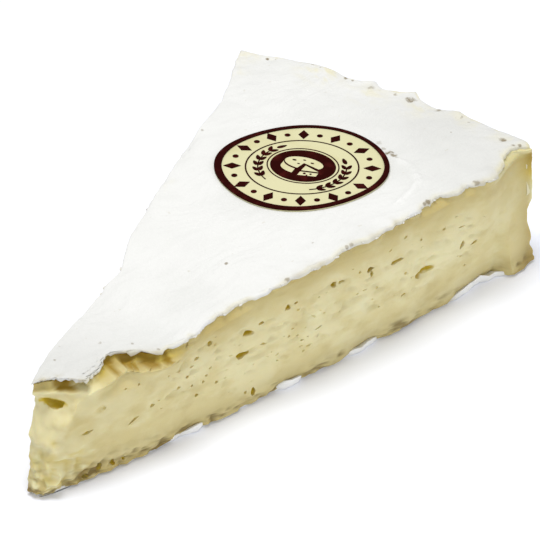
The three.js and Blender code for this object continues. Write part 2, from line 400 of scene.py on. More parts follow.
# Paste: the soft inside, seen at both cuts and where the rind is gone
paste = {
    "stepsAlong": 410,
    "stepsAcross": 18,
    "stepsUp": 72,
    "lowerRows": 0.72,
    "ledgeRows": 0.17,
    "rindAbove": 1.15,
    "rindBelow": 0.7,
    "rindAtHeel": 1.2,
    # how far the tip's upright corners are rounded off, on each side
    "bluntFront": 1.3,
    "bluntBack": 0.8,
    # sizes of the relief
    "tipFacets": 1.5,
    "frontFacets": 1.3,
    "lumpsOnTip": 1.1,
    "lumpsOnFront": 0.9,
    "dimples": 0.95,
    "foot": 0.95,
    "crumbsByTip": 1.6,
    "crumbsAlong": 0.85,
    # hollows pressed in the front cut: along, height, radius, depth
    "hollows": [(96, 21.2, 4.2, 0.7), (44, 25.5, 5, 0.6), (112, 22, 6, 0.35), (70, 26, 5, 0.3),
                (147, 12, 6, 0.35), (30, 17, 7, 0.3), (60, 13, 9, 0.25)],
    # smaller ones by the tip, which are also painted darker as shade
    "tipHollows": [(12.4, 10.6, 1.6, 0.9), (9.9, 9, 1.4, 0.8), (10.8, 5.2, 1.4, 0.8),
                   (10.6, 23.6, 1.2, 0.5), (27, 21.1, 0.9, 0.5), (13.5, 15.4, 0.8, 0.4)],
    # pale crumbs that stand out by the tip's foot: along, height, radius, how far
    "crumbs": [(12.8, 6, 1.1, 0.8), (14.3, 7.3, 0.8, 0.6), (16.7, 3.4, 1.0, 0.9),
               (15.1, 4.7, 0.7, 0.6), (18.6, 2.4, 0.8, 0.7), (13.6, 1.6, 0.9, 0.6),
               (17.8, 5.6, 0.7, 0.6), (14.6, 9.4, 0.8, 0.4)],
}


def pasteHeights(s):
    return paste["rindBelow"], curves["topHeight"](s) - paste["rindAbove"]


# share of the height of each row, with rows close together where the lip's ledge is
def rowHeight(row, s):
    low, high = pasteHeights(s)
    ledgeLow = 1 - (curves["lipBelow"](s) + 0.2) / (high - low)
    ledgeHigh = 1 - (curves["lipBelow"](s) - 0.9) / (high - low)
    split, splitHigh = paste["lowerRows"], paste["lowerRows"] + paste["ledgeRows"]
    lower = curves["rows"](row / split) * ledgeLow
    ledge = mix(ledgeLow, ledgeHigh, (row - split) / paste["ledgeRows"])
    upper = mix(ledgeHigh, 1, (row - splitHigh) / (1 - splitHigh))
    return np.where(row < split, lower, np.where(row < splitHigh, ledge, upper))


def makePaste():
    steps = (paste["stepsAlong"], paste["stepsAcross"], paste["stepsUp"])
    piece = cutCube("paste", *steps)
    along, across, up = stepsOf(piece, *steps) / np.array(steps, float)[:, None]
    up = rowHeight(up, mix(15.0, wheel["radius"], along))
    across = 0.5 + 0.5 * np.sign(across - 0.5) * (1 - (1 - np.abs(2 * across - 1)) ** 1.3)
    start = curves["tip"](up) + curves["tipSlant"](up) * (1 - across)
    start = start + paste["bluntFront"] * (1 - across) ** 7 + paste["bluntBack"] * across**7
    heelZ = mix(*pasteHeights(wheel["radius"]), up)
    coat = paste["rindAtHeel"] * smoothStep(0, 0.05, across) * (1 + 4 * across * (1 - across))
    s = mix(start, curves["heel"](heelZ) - coat, along)
    low, high = pasteHeights(s)
    z = mix(low, high, up)
    angle = mix(-wheel["halfAngle"], wheel["halfAngle"], across)
    s = s + heelShift(s * np.sin(angle), z, s, across * 2 * wheel["halfAngle"] * s)
    x, y = s * np.cos(angle), s * np.sin(angle)

    front = frontOffset(s, up) + frontRelief(s, z, up)
    back = backOffset(s, up) + backRelief(s, z, up)
    x, y = pushOut(x, y, across, front, back)

    # the tip's own relief, along its length
    atTip = fade(0, 0.03, along)
    lowTip = fade(0.2, 0.5, up)
    facets = np.abs(lumps(x, y, z, 5.5, octaves=2, seed=71)) - 0.25
    x = x + atTip * (0.6 * lumps(x, y, z, 4.5, seed=3) + paste["tipFacets"] * facets)
    x = x + atTip * mix(0.25, 0.45, lowTip) * lumps(x, y, z, 1.8, seed=4)
    x = x - atTip * paste["lumpsOnTip"] * tipLumps(x - y, z)
    endWall = atTip * smoothStep(0.915, 0.935, up)
    x = x + endWall * hollowsAt(tipLip["endHollows"], y)
    # the pits in the ledge of the front cut
    pit = inPits(s, front)[1] * (across < 0.01)
    z = z - pit * smoothStep(0, 0.7, high - z) * fade(4, 6, high - z)
    # torn top surface, seen where the rind is gone
    onTop = smoothStep(0.985, 1, up)
    z = z + onTop * 0.25 * lumps(x, y, 0, 1.6, seed=5)
    movePoints(piece, toMetres(x, y, z))
    return piece


# broken lumps on the lower half of the tip, by place round it
def tipLumps(place, z):
    low = fade(9, 16, z) * fade(26, 36, place)
    return low * lumps(place, 0, z, 2.4, octaves=2, seed=74)


# crumbs along the foot of the front cut, deepest near the tip
def footCrumbs(s, z, up):
    size = mix(paste["crumbsByTip"], paste["crumbsAlong"], smoothStep(36, 70, s))
    size = size * (0.75 + 0.5 * lumps(s, 0, 0, 12, octaves=2, seed=17))
    band = fade(0.04, mix(0.34, 0.14, smoothStep(25, 60, s)), up)
    rough = lumps(s, 0, z, 2.6, seed=14) + 0.6 * lumps(s, 0, z, 1.1, octaves=2, seed=15)
    return band * size * rough * (1 - 0.8 * bumpsAt(curledFoot, s))


# soft dips where the front's larger holes open, and the pale rims round them
def aroundHoles(s, z):
    dip, rim = np.zeros(np.shape(s)), np.zeros(np.shape(s))
    for place, height, long, tall, *_ in holes["front"]:
        if long > 1.3 and height > 6:
            far = np.hypot((s - place) / (long * 0.75), (z - height) / (tall * 0.95))
            dip = dip + 0.3 * min(tall, 1.6) * np.exp(-(far**2))
            rim = np.maximum(rim, bell(far, 1.5, 0.7))
    return dip, rim


# relief of a cut: the knife's drag, soft lumps and the crumbly foot
def frontRelief(s, z, up):
    relief = 0.3 * lumps(s / 1.6, 0, z, 9, seed=11)
    relief += 0.2 * lumps(s / 2.4, 0, z, 2.6, seed=12)
    relief += 0.09 * lumps(s, 0, z, 1.0, octaves=2, seed=13)
    # broken facets by the tip, and a soft upright groove by the heel
    facets = np.abs(lumps(s / 1.3, 0, z, 5, octaves=2, seed=72)) - 0.25
    relief += paste["frontFacets"] * fade(22, 40, s) * facets
    relief -= 0.5 * bell(s, 173.5, 2.2) * smoothStep(8, 14, z) * fade(26, 31, z)
    # how far round the tip's corner a place on the front cut is, for its broken lumps
    roundTip = 1.23 * s
    relief += paste["foot"] * footCrumbs(s, z, up) + paste["lumpsOnFront"] * tipLumps(roundTip, z)
    relief -= aroundHoles(s, z)[0]
    # soft dimples among the eyes, and the same torn edge as the rind's
    among = smoothStep(34, 50, s) * fade(155, 172, s) * np.exp(-(((z - 19) / 9.5) ** 4))
    dimples = smoothStep(0.1, 0.7, lumps(s / 1.5, 0, z, 2.0, octaves=2, seed=18))
    relief -= paste["dimples"] * among * dimples
    below = pasteHeights(s)[1] - z
    relief += 0.9 * raggedFront(s) * fade(0.3, 2.0, below)
    for place, height, radius, depth in paste["hollows"] + paste["tipHollows"]:
        far = np.hypot(s - place, (z - height) * 1.3) / radius
        relief -= depth * np.exp(-(far**2) * 2)
    for place, height, radius, stands in paste["crumbs"]:
        relief += stands * spotBell(s, z, place, height, radius)
    return relief


# how the rind's torn front edge wanders in and out
def raggedFront(s):
    coarse, fine = lumps(s, 0, 0, 3.6, seed=43), lumps(s, 0, 0, 1.4, seed=44)
    return rind["ragged"] * coarse + rind["fine"] * fine


def backRelief(s, z, up):
    relief = 0.35 * lumps(s / 1.6, 50, z, 9, seed=21)
    relief += 0.14 * lumps(s / 2, 50, z, 2.4, seed=22)
    relief += fade(0.02, 0.1, up) * 0.4 * lumps(s, 50, z, 1.8, seed=23)
    return relief


# Holes in the cuts: along, height, length, their own height, depth, lean in degrees
holes = {
    "front": [
        (23.4, 15, 3.8, 1.3, 1.5, 10), (37.3, 13.5, 4, 1.1, 1.2, 25),
        (43.6, 15.6, 1.6, 1.2, 1.2, 0), (28, 21, 1.8, 1.5, 0.8, 40), (39.4, 24, 1, 0.8, 0.6, 0),
        (49, 22.5, 0.9, 0.7, 0.6, 0), (58.5, 11.9, 1.3, 1.6, 1.2, 60), (52.5, 17.1, 1.5, 1.1, 1, 0),
        (55.2, 19.4, 1.2, 0.9, 0.9, 0), (56.8, 15.9, 1, 0.8, 0.8, 0), (60.8, 15.4, 1, 1, 0.8, 0),
        (65.2, 13.2, 1.3, 0.9, 0.8, 20), (58.9, 23.5, 2, 0.9, 1, 5), (63.9, 25.9, 2, 1.4, 1.5, 10),
        (55.9, 28.9, 1.6, 1, 1.2, 10), (74.6, 17.8, 4.4, 2.2, 2.8, -2),
        (76.6, 23.6, 4.2, 1.5, 2.2, 1), (80.6, 25.3, 2.2, 1, 1, 0),
        (81.3, 18.5, 2.4, 0.8, 0.9, -14), (89.1, 26.7, 2, 1.7, 1.7, 20),
        (95.2, 21.6, 2.4, 1.9, 1.2, 50), (98.2, 20.4, 2.4, 0.8, 0.9, -35),
        (99.5, 16.2, 3, 0.5, 0.6, 8), (94, 12.4, 1.4, 0.6, 0.6, 0), (105.2, 27.2, 2.4, 2.1, 2.8, 0),
        (107.9, 27, 2.8, 0.9, 1.5, -6), (113.8, 20.6, 1.2, 1, 0.9, 0),
        (116.2, 21, 1.8, 0.7, 0.8, 4), (118.2, 26.8, 2.6, 2, 2.8, 0), (118.6, 25, 1.3, 2.2, 2, 0),
        (114.2, 27.6, 0.9, 1.2, 0.8, 0), (128.4, 24.8, 6.4, 1.4, 2, -2),
        (131.4, 19.6, 1.2, 1.2, 0.8, 0), (139, 16.2, 7.6, 2.4, 2.8, -6),
        (131.2, 12.6, 2, 1.1, 0.9, 14), (131.6, 31, 1.8, 1.1, 1, 10),
        (137.5, 27.6, 0.9, 0.8, 0.7, 0), (146.5, 26.8, 1.4, 0.9, 0.8, 5),
        (153, 25, 3, 0.5, 0.8, -12), (154, 18.4, 2.1, 2.6, 2.8, -30),
        (158.4, 17.2, 3, 0.9, 1.4, 15), (153.5, 14.8, 1.2, 0.8, 0.6, 0),
        (77.9, 4.6, 2, 2.8, 1.6, 0), (75.2, 5.4, 1.2, 1.2, 0.8, 0), (26.7, 3, 1.8, 3.4, 1.6, 0),
        (30.8, 2.8, 2, 2.2, 1.3, 0), (34.5, 2.6, 1.6, 1.4, 1, 0), (22.3, 1.8, 2.4, 1.8, 1.3, 0),
    ],
    "smallInFront": 100,
    "smallInBack": 110,
    "largeInBack": 22,
    "seed": 7,
}


def holeSpot(side, s, z):
    heading, outward = cutDirections[side]
    if side == "tip":
        return np.array(tipCrack["middle"]) + heading * s
    low, high = pasteHeights(s)
    up = np.array((z - low) / (high - low))
    offset = frontOffset(np.array(s), up) if side == "front" else backOffset(np.array(s), up)
    return heading * s + outward * float(offset)


# one round-ended lump, narrower at one end, which is cut out of the paste
def holeCutter(side, s, z, long, tall, deep, lean, taper, seed):
    x, y = holeSpot(side, s, z)
    bpy.ops.mesh.primitive_ico_sphere_add(subdivisions=3 if long > 1.5 else 2, radius=0.5)
    cutter = bpy.context.object
    points = readPoints(cutter)
    wobble = lumps(*(points.T * 2), 1.0, octaves=2, seed=seed)
    if side == "tip":
        points[:, 2] = np.minimum(points[:, 2], tipCrack["flatTop"])
    points[:, 2] *= 1 + taper * points[:, 0]
    points = points * (1 + 0.4 * wobble)[:, None] * (long * 0.92, deep * 2, tall * 0.9)
    lengthwise, upright = turnPlace(points[:, 0], points[:, 2], math.radians(lean))
    heading, outward = cutDirections[side]
    # turned about, not mirrored, so that its faces still point outward
    sideways = points[:, 1] if side == "back" else -points[:, 1]
    plan = np.outer(lengthwise, heading) + np.outer(sideways, outward)
    movePoints(cutter, toMetres(plan[:, 0] + x, plan[:, 1] + y, upright + z))
    return cutter


def holeList():
    draw = random.Random(holes["seed"])
    found = [("front", *hole) for hole in holes["front"]]
    for side, count in (("front", holes["smallInFront"]), ("back", holes["smallInBack"])):
        for _ in range(count):
            s = draw.triangular(30, 172, 90)
            z = draw.triangular(7, 32, 20)
            if z < 28 or s > 70:
                size = draw.triangular(0.35, 1.1, 0.5)
                lean = draw.uniform(-28, 24)
                found.append((side, s, z, size * draw.uniform(1, 2), size * 0.8, size * 0.5, lean))
    for _ in range(holes["largeInBack"]):
        size = draw.uniform(1.3, 2.6)
        s, z = draw.uniform(30, 168), draw.uniform(9, 27)
        long, lean = size * draw.uniform(1, 2.2), draw.uniform(-15, 25)
        found.append(("back", s, z, long, size * 0.7, size * 0.9, lean))
    return found


def cutHoles(piece):
    deselectAll()
    cutters = []
    for index, hole in enumerate(holeList()):
        taper = 1.1 * math.sin(index * 2.4)
        cutters.append(holeCutter(*hole, taper, index + 60))
    cutters.append(holeCutter("tip", *tipCrack["hole"], tipCrack["taper"], 5))
    cutter = joinPieces(cutters, "holeCutter")
    applyModifier(piece, "BOOLEAN", operation="DIFFERENCE", object=cutter, solver="EXACT",
                  use_self=True)
    bpy.data.objects.remove(cutter)


# 0 to 1 inside the crack of the tip, where its shade is painted
def inCrack(x, y, z):
    dx, dy = x - tipCrack["middle"][0], y - tipCrack["middle"][1]
    ahead, outward = byCut("tip", dx, dy)
    tall = np.clip(tipCrack["toneTall"] + tipCrack["toneWiden"] * ahead, 0.6, 1.9)
    rise = z - tipCrack["toneHeight"] + tipCrack["toneSlope"] * ahead
    lengthwise, deep = ahead / tipCrack["toneLength"], outward / tipCrack["toneDepth"]
    far = np.sqrt(lengthwise**2 + (rise / tall) ** 2 + deep**2)
    return fade(1.0, 1.15, far) * smoothStep(0.2, 1.0, -outward)


# how deep in a hole, how near the rind, how pale and how brown each point of the paste is, with
# painted shade in its holes, hollows and under the tip's rind, and painted highlights on the lip
# and the tip's lumps
def tonePaste(piece):
    x, y, z = fromMetres(readPoints(piece))
    s, out = byCut("front", x, y)
    low, high = pasteHeights(s)
    up = np.clip((z - low) / (high - low), 0, 1)
    above, below = z - low, high - z
    frontDepth = frontOffset(s, up) + frontRelief(s, z, up) - out
    sBack, outBack = byCut("back", x, y)
    backDepth = backOffset(sBack, up) + backRelief(sBack, z, up) - outBack
    fromCentre = np.hypot(x, y)
    heelZ = mix(*pasteHeights(wheel["radius"]), up)
    fromHeel = curves["heel"](heelZ) + heelShift(y, z, fromCentre, 0.5) - fromCentre
    toFront = np.clip(0.5 - 0.5 * np.arctan2(y, x) / wheel["halfAngle"], 0, 1)
    fromTip = fromCentre - curves["tip"](up) - curves["tipSlant"](up) * toFront
    depth = np.minimum.reduce([frontDepth, backDepth, fromTip - 1.6])
    nearTip = fade(tipLip["reach"] - tipLip["fadeOver"], tipLip["reach"], s)
    lipBelow = curves["lipBelow"](s)
    lowOnTip = tipLumps(x - y, z)

    # painted shade: dark in the ledge's pits and right under the tip's rind, and a lighter shade
    # under its lip, on its ledge and at its end, where little light reaches
    pits = inPits(s, out, 1.35)[0] * ((below < lipBelow + 2.5) * nearTip)
    shadeUnderRind = bumpsAt(tipLip["shadeUnderRind"], s) * (frontDepth < 7)
    pits = np.maximum(pits, shadeUnderRind * fade(lipBelow - 0.5, lipBelow + 0.3, below))
    under = nearTip * fade(lipBelow - 1.2, lipBelow - 0.2, below)
    under = under * mix(0.3, 1, smoothStep(27, 32, s))
    ledgeShade = nearTip * smoothStep(26, 31, s) * fade(lipBelow, lipBelow + 2, below)
    endHollow = np.clip(hollowsAt(tipLip["endHollows"], y) / 1.4, 0, 1) * fade(21, 24, s)
    shadeUnderEnd = np.maximum(endHollow, 0.85 * fade(17, 21, s)) * fade(lipBelow - 0.8, lipBelow, below)
    setAttribute(piece, "pits", pits)

    # painted shade in gold: the insides of the holes, the crack, the tip's hollows and the slot
    # under the tip's rind; the band under the heel's top is the paste's own gold
    cavityShadeAndGold = smoothStep(0.15, 0.8, depth) * fade(4, 5, depth) * (below > 3)
    hollow = 0.4 * smoothStep(0.1, 0.5, -lowOnTip)
    for place, height, radius, _ in paste["tipHollows"]:
        hollow = np.maximum(hollow, 0.5 * spotBell(s, z, place, height, radius))
    upperHeel = np.exp(-np.clip(fromHeel - 1, 0, 99) / 2.6) * smoothStep(23, 28, z)
    upperHeel = upperHeel * smoothStep(0.3, 1.6, below)
    golden = [cavityShadeAndGold, 0.72 * under, 0.6 * shadeUnderEnd, inCrack(x, y, z), 0.8 * upperHeel, hollow]
    setAttribute(piece, "cavityShadeAndGold", np.maximum.reduce(golden))

    # darker by the rind, with painted shade on the ledge under the tip's rind; pale among the eyes
    # and round the larger holes, with a painted highlight along the lip
    nearTop = np.exp(-below / 5) * smoothStep(28, 58, s)
    nearFoot = np.exp(-above / 3) + 0.3 * fade(45, 62, s) * np.exp(-above / 8)
    nearHeel = 1.1 * np.exp(-np.clip(fromHeel, 0, 99) / 4)
    nearHeel = nearHeel + 0.2 * fade(28, 50, s) * smoothStep(1.5, 4, fromTip)
    setAttribute(piece, "nearRind", 1.1 * nearTop + 0.8 * nearFoot + nearHeel + 0.8 * ledgeShade)
    eyes = bell(z, 20, 8) * smoothStep(30, 60, s) * fade(150, 176, s)
    lipHighlight = bell(below, lipBelow, 0.6) * nearTip * (1 - pits)
    tipLight = 0.25 * fade(1.5, 5, fromTip) * (1 - nearFoot)
    rims = 0.9 * aroundHoles(s, z)[1] * (frontDepth < 0.8)
    setAttribute(piece, "eyes", np.maximum.reduce([eyes, 0.5 * lipHighlight, tipLight, rims]))

    # the palest places: crumbs and the worn bevel by the heel, with painted highlights on the lip
    # and on the tip's lumps that stand out
    crumb = np.zeros(len(x))
    for place, height, radius, _ in paste["crumbs"]:
        crumb = np.maximum(crumb, spotBell(s, z, place, height, radius))
    bevelLow = mix(2.2, 0.7, smoothStep(170, 180, s))
    bevel = 0.6 * smoothStep(163, 169, s) * fade(bevelLow, 2.8, below)
    paleHeel = bell(fromHeel, 0, 1.3) * smoothStep(17, 19.5, z) * fade(25, 28, z)
    litLumps = smoothStep(0.15, 0.5, lowOnTip * (y < 3))
    pale = [bevel, 0.3 * lipHighlight, 0.9 * crumb, 0.8 * paleHeel, litLumps]
    setAttribute(piece, "worn", np.maximum.reduce(pale))

    # brown gaps between the foot's crumbs and painted shade right under the tip's rind; old stains
    # by the heel
    brown = 0.9 * smoothStep(0.15, -0.4, footCrumbs(s, z, up)) * fade(0.05, 0.25, up)
    shadeUnderTip = fade(15.5, 19.5, s) * fade(lipBelow - 1.0, lipBelow - 0.2, below)
    setAttribute(piece, "brown", np.maximum(brown, 0.5 * shadeUnderTip))
    heelBrown = 0.7 * smoothStep(172, 180, s) * fade(2, 8, z)
    setAttribute(piece, "golden", np.maximum(heelBrown, 0.8 * upperHeel * smoothStep(27, 32, z)))


# Rind: a thin white coat over the top, the heel and the underside
rind = {
    "topSteps": 330,
    "heelSteps": 40,
    "underSteps": 200,
    "cornerSteps": 8,
    "acrossSteps": 76,
    "layers": 3,
    "topCorner": 1.2,
    "footCorner": 1.4,
    "thicknessTop": 1.5,
    "thicknessHeel": 1.9,
    "thicknessUnder": 1.0,
    "tipTop": 14.9,
    "tipUnder": 9.4,
    # how far the top's edge at the tip lies further back on the front's side
    "tipTopSlant": 9.3,
    # where the coat is cut off at the heel's corner
    "cutEnd": 181.0,
    # bits of it that stand out there: height and half height
    "heelBits": [(20.5, 1.8), (24.4, 2.8), (29, 1.1), (32, 0.9)],
    # low relief of the top
    "swell": 0.4,
    "ripple": 0.24,
    "streaks": 0.08,
    "streakTurn": math.radians(-24),
    "ragged": 0.95,
    "fine": 0.6,
    # dirty places of the front edge: along, half width, strength
    "edgeStains": [(98.5, 1.4, 0.5), (119.4, 1.4, 0.4), (165.8, 2.2, 0.35), (45.7, 2.0, 0.6),
                   (72, 1.2, 0.3), (89, 1, 0.3), (128, 1.0, 0.4), (142.3, 1.3, 0.3),
                   (112.5, 1.2, 0.3)],
}


# the rind's outer line in a cut through the wheel: distances and heights from the tip over the
# top, down the heel and back to the tip under the paste
def rindLine():
    rimZ = float(curves["topHeight"](wheel["radius"]))
    heelTop, heelFoot = rimZ - rind["topCorner"], rind["footCorner"]
    rimS = float(curves["heel"](heelTop)) - rind["topCorner"]
    topS = np.linspace(0, 1, rind["topSteps"] + 1)
    topS = topS - 0.45 * np.sin(2 * math.pi * topS) / (2 * math.pi)
    top = np.column_stack([topS, np.full_like(topS, np.nan)])
    turn = np.linspace(0, math.pi / 2, rind["cornerSteps"] + 1)[1:-1]
    corner = np.column_stack([
        rimS + rind["topCorner"] * np.sin(turn),
        rimZ - rind["topCorner"] * (1 - np.cos(turn)),
    ])
    heights = np.linspace(heelTop, heelFoot, rind["heelSteps"] + 1)
    heel = np.column_stack([curves["heel"](heights), heights])
    footS = float(curves["heel"](heelFoot)) - rind["footCorner"]
    foot = np.column_stack([
        footS + rind["footCorner"] * np.cos(turn),
        heel[-1, 1] * (1 - np.sin(turn)),
    ])
    underS = np.linspace(1, 0, rind["underSteps"] + 1)
    under = np.column_stack([underS, np.full_like(underS, np.nan)])
    part = np.concatenate([np.zeros(len(top)), np.ones(len(corner) + len(heel) + len(foot)),
                           np.full(len(under), 2)])
    return np.concatenate([top, corner, heel, foot, under]), part, rimS, footS


def makeRind():
    line, part, rimS, footS = rindLine()
    steps = (len(line) - 1, rind["acrossSteps"], rind["layers"])
    piece = cutCube("rind", *steps)
    station, column, layer = stepsOf(piece, *steps)
    half = np.abs(2 * column / steps[1] - 1)
    across = 0.5 + 0.5 * np.sign(column / steps[1] - 0.5) * (1 - (1 - half) ** 1.4)
    lift = layer / steps[2]

    onTop, onHeel, onUnder = (part[station] == kind for kind in range(3))
    share = line[station, 0]
    tipTop = rind["tipTop"] + rind["tipTopSlant"] * (1 - across)
    tipTop = tipTop + 0.5 * lumps(0, across * 12, 0, 1.6, seed=41)
    finer = lumps(0, across * 12, 0, 0.9, octaves=2, seed=64)
    tipTop = tipTop + 0.8 * finer * fade(0.75, 0.92, across)
    tipUnder = rind["tipUnder"] + 0.4 * lumps(0, across * 9, 0, 1.4, seed=42)
    topS, underS = mix(tipTop, rimS, share), mix(tipUnder, footS, share)
    s = np.where(onTop, topS, np.where(onUnder, underS, share))
    z = np.where(onTop, curves["topHeight"](s), np.where(onUnder, 0, line[station, 1]))

    # inward direction of the coat, from the line's own run at mid width
    mid = np.where(part == 0, mix(rind["tipTop"], rimS, line[:, 0]),
                   np.where(part == 2, mix(rind["tipUnder"], footS, line[:, 0]), line[:, 0]))
    midZ = np.where(part == 0, curves["topHeight"](mid), np.where(part == 2, 0, line[:, 1]))
    runS, runZ = np.gradient(mid), np.gradient(midZ)
    length = np.hypot(runS, runZ) + 1e-9
    inS, inZ = runZ / length, -runS / length
    thick = np.where(part == 0, rind["thicknessTop"],
                     np.where(part == 1, rind["thicknessHeel"], rind["thicknessUnder"]))
    thick = np.convolve(np.pad(thick, 4, mode="edge"), np.ones(9) / 9, mode="valid")

    # edges at both cuts: the coat's cut end at the heel follows the paste, with bits that stand out
    # on its upper half
    footEdge = curves["foot"](s) + mix(-0.9, 0.7, bumpsAt(curledFoot, s))
    heelZ, cutEnd = np.nan_to_num(line[:, 1]), np.full(len(line), rind["cutEnd"])
    low, high = pasteHeights(rind["cutEnd"])
    heelUp = np.clip((heelZ - low) / (high - low), 0, 1)
    heelLine = frontOffset(cutEnd, heelUp) + frontRelief(cutEnd, heelZ, heelUp)
    bits = mix(-1.0, 0.5, bumpsAt(rind["heelBits"], z))
    heelEdge = heelLine[station] + mix(bits, 0.06, smoothStep(33, 34.3, z))
    frontEdge = np.where(onTop, curves["rindEdge"](s), np.where(onUnder, footEdge, heelEdge))
    backEdge = np.where(onHeel, curves["back"](rind["cutEnd"]), curves["back"](s))
    backEdge = backEdge + np.where(onUnder, -0.4, 0)

    # both are torn, each side in its own way
    placeRound = s + np.where(onUnder, 400, 0) + np.where(onHeel, z, 0)
    tornFront = raggedFront(placeRound) * np.where(onHeel, 0.35, 1.0)
    tornBack = 0.25 * lumps(placeRound, 90, 0, 3.2, seed=45)
    tornBack = tornBack + 0.12 * lumps(placeRound, 90, 0, 1.2, seed=46)
    inFolds, foldUp = foldWave(s)
    folded = tipFolds["notch"] * foldUp + 0.4 * tornFront
    tornFront = mix(tornFront, folded, onTop * inFolds)
    lipIn = 0.12 * (1 - lift) ** 2 + 0.45 * lift**3
    front = frontEdge + tornFront - lipIn * (across < 0.02)
    back = backEdge + tornBack - lipIn * (across > 0.98)

    width = 2 * wheel["halfAngle"] * s
    fromFront, fromBack = across * width, (1 - across) * width
    fromCut = np.minimum(fromFront, fromBack)
    # thin over the ledge at the tip's front, and down to the paste elsewhere
    towardsBack = smoothStep(0.5, 0.8, across) * smoothStep(20, 28, s)
    atEdge = mix(0.25, 0.85, np.maximum(smoothStep(46, 60, s), towardsBack))
    fromEnd = np.where(onTop, s - tipTop, 9.0)
    inland = smoothStep(0, 2.6, np.minimum(fromCut, fromEnd))
    depth = (1 - lift) * thick[station] * mix(atEdge, 1, inland)
    # patches that curl up at the foot, and ragged bits that hang over the tip's ledge
    curl = bumpsAt(curledFoot, s) * onUnder
    curlHeight = 1 + 0.6 * lumps(s, 0, 0, 3, octaves=2, seed=58)
    curlHeight = curlHeight + 0.8 * lumps(s, 0, 0, 1.2, octaves=2, seed=62)
    depth = depth + (1 - lift) * curl * 1.4 * np.maximum(curlHeight, 0) * bell(fromFront, 0, 1.6)
    alongFront = s - np.where(fromEnd < 1, across * 4, 0)
    drip = hollowsAt(tipLip["drips"], alongFront)
    atFringe = bell(np.minimum(fromFront, 2 * np.maximum(fromEnd, 0)), 0, 0.6) * onTop
    depth = depth + (1 - lift) * drip * atFringe
    angle = mix(-wheel["halfAngle"], wheel["halfAngle"], across)
    sIn = s + inS[station] * depth
    zIn = z + inZ[station] * depth
    sIn = sIn + heelShift(s * np.sin(angle), zIn, s, fromFront)
    x, y = sIn * np.cos(angle), sIn * np.sin(angle)
    x, y = pushOut(x, y, across, front, back)

    # low relief of the white coat, kept level under the label
    flat = underLabel(x, y)
    swell, ripple = lumps(x, y, 0, 15, seed=47), lumps(x, y, 0, 4.5, seed=48)
    soft = rind["swell"] * swell + rind["ripple"] * ripple
    alongStreak, acrossStreak = turnPlace(x, y, -rind["streakTurn"])
    acrossStreak = acrossStreak + 2.5 * lumps(x, y, 0, 26, octaves=2, seed=60)
    soft = soft + rind["streaks"] * lumps(alongStreak * 0.3, acrossStreak, 0, 2.6, seed=54)
    rimLumps = 0.35 * lumps(x, y, 0, 5, seed=49) + 0.16 * lumps(x, y, 0, 1.6, seed=50)
    droop = np.exp(-fromCut) * (0.1 + 0.35 * lumps(x, y, 0, 1.6, seed=51))
    droop = droop * mix(0.4, 1, smoothStep(30, 50, s))
    rise = (soft + smoothStep(171, 180, s) * rimLumps) * (1 - flat) - droop
    rise = rise + foldedLip(s, fromFront) + raisedLine(x, y) + markRelief(x, y)
    zIn = zIn + onTop * rise * mix(0.6, 1, lift)
    bulge = onHeel * (0.4 * lumps(x * 0.3, y, z, 6, seed=52) + 0.15 * lumps(x, y, z, 1.8, seed=53))
    x = x + bulge * np.cos(angle) * smoothStep(0, 4, z)
    y = y + bulge * np.sin(angle) * smoothStep(0, 4, z)
    movePoints(piece, toMetres(x, y, np.maximum(zIn, 0)))
    toneRind(piece, s, fromFront, fromEnd, lift, onTop, onHeel, curl)
    return piece


# narrow folds where the rind is pulled down at the tip's front edge
tipFolds = {"from": 24, "to": 34, "pitch": 1.45, "height": 0.36, "reach": 3.4, "notch": 0.4}


def foldWave(s):
    inFolds = smoothStep(tipFolds["from"] - 1, tipFolds["from"] + 1.5, s)
    inFolds = inFolds * fade(tipFolds["to"] - 1, tipFolds["to"] + 1, s)
    wander = 0.9 * lumps(s, 0, 0, 4, octaves=1, seed=59)
    return inFolds, np.sin(s * 2 * math.pi / tipFolds["pitch"] + wander)


def foldedLip(s, fromFront):
    inFolds, foldUp = foldWave(s)
    lifted = tipFolds["height"] * foldUp - 0.3
    return inFolds * bell(fromFront, 0, tipFolds["reach"]) * lifted


# the faint raised line in the rind beside the label, and small lumps and pits of the mould
rindRelief = {
    "line": [(149.9, -20.2), (149, -23.6), (147.8, -26.5), (145.6, -29.2), (142.9, -31.2),
             (137.2, -32.4), (131, -32.2)],
    "lineHeight": 0.9,
    "lineHalfWidth": 0.6,
    "markHeight": 1.6,
    # place, radius and share of that height
    "marks": [(151.4, -17.2, 1.0, 0.5), (153, -18.8, 0.8, 0.45), (150.3, -19.2, 0.7, 0.35),
              (151.9, -15.2, 0.8, -0.35), (157.4, -7.4, 1.6, -0.3), (155.6, -10.6, 1.6, -0.35),
              (153.3, -13.4, 1.3, -0.35), (83.3, -9.1, 0.7, -0.4), (84.4, -8, 0.6, 0.25),
              (102.2, -24, 0.6, -0.3), (103.4, -24.4, 0.8, 0.3), (100.4, -10.8, 0.8, -0.2),
              (94.9, -11.6, 0.6, -0.2), (26.3, 5.9, 0.5, -0.3), (39.2, 0.7, 0.6, -0.3),
              (43.2, -6.7, 0.6, -0.3), (32.3, 8.6, 0.6, -0.3), (162.1, 9.6, 1.4, 0.25),
              (165.6, 11.4, 1.4, 0.25), (168.7, 12.9, 1.2, 0.2), (159, -43.6, 1.6, 0.3),
              (176, -38.2, 0.9, -0.4), (180.2, -5.3, 1.2, -0.5), (179.1, -15.2, 0.7, -0.4),
              (179.6, 15.9, 0.7, -0.4), (180, 26, 0.8, -0.4), (176.6, 39.2, 0.8, -0.4)],
}


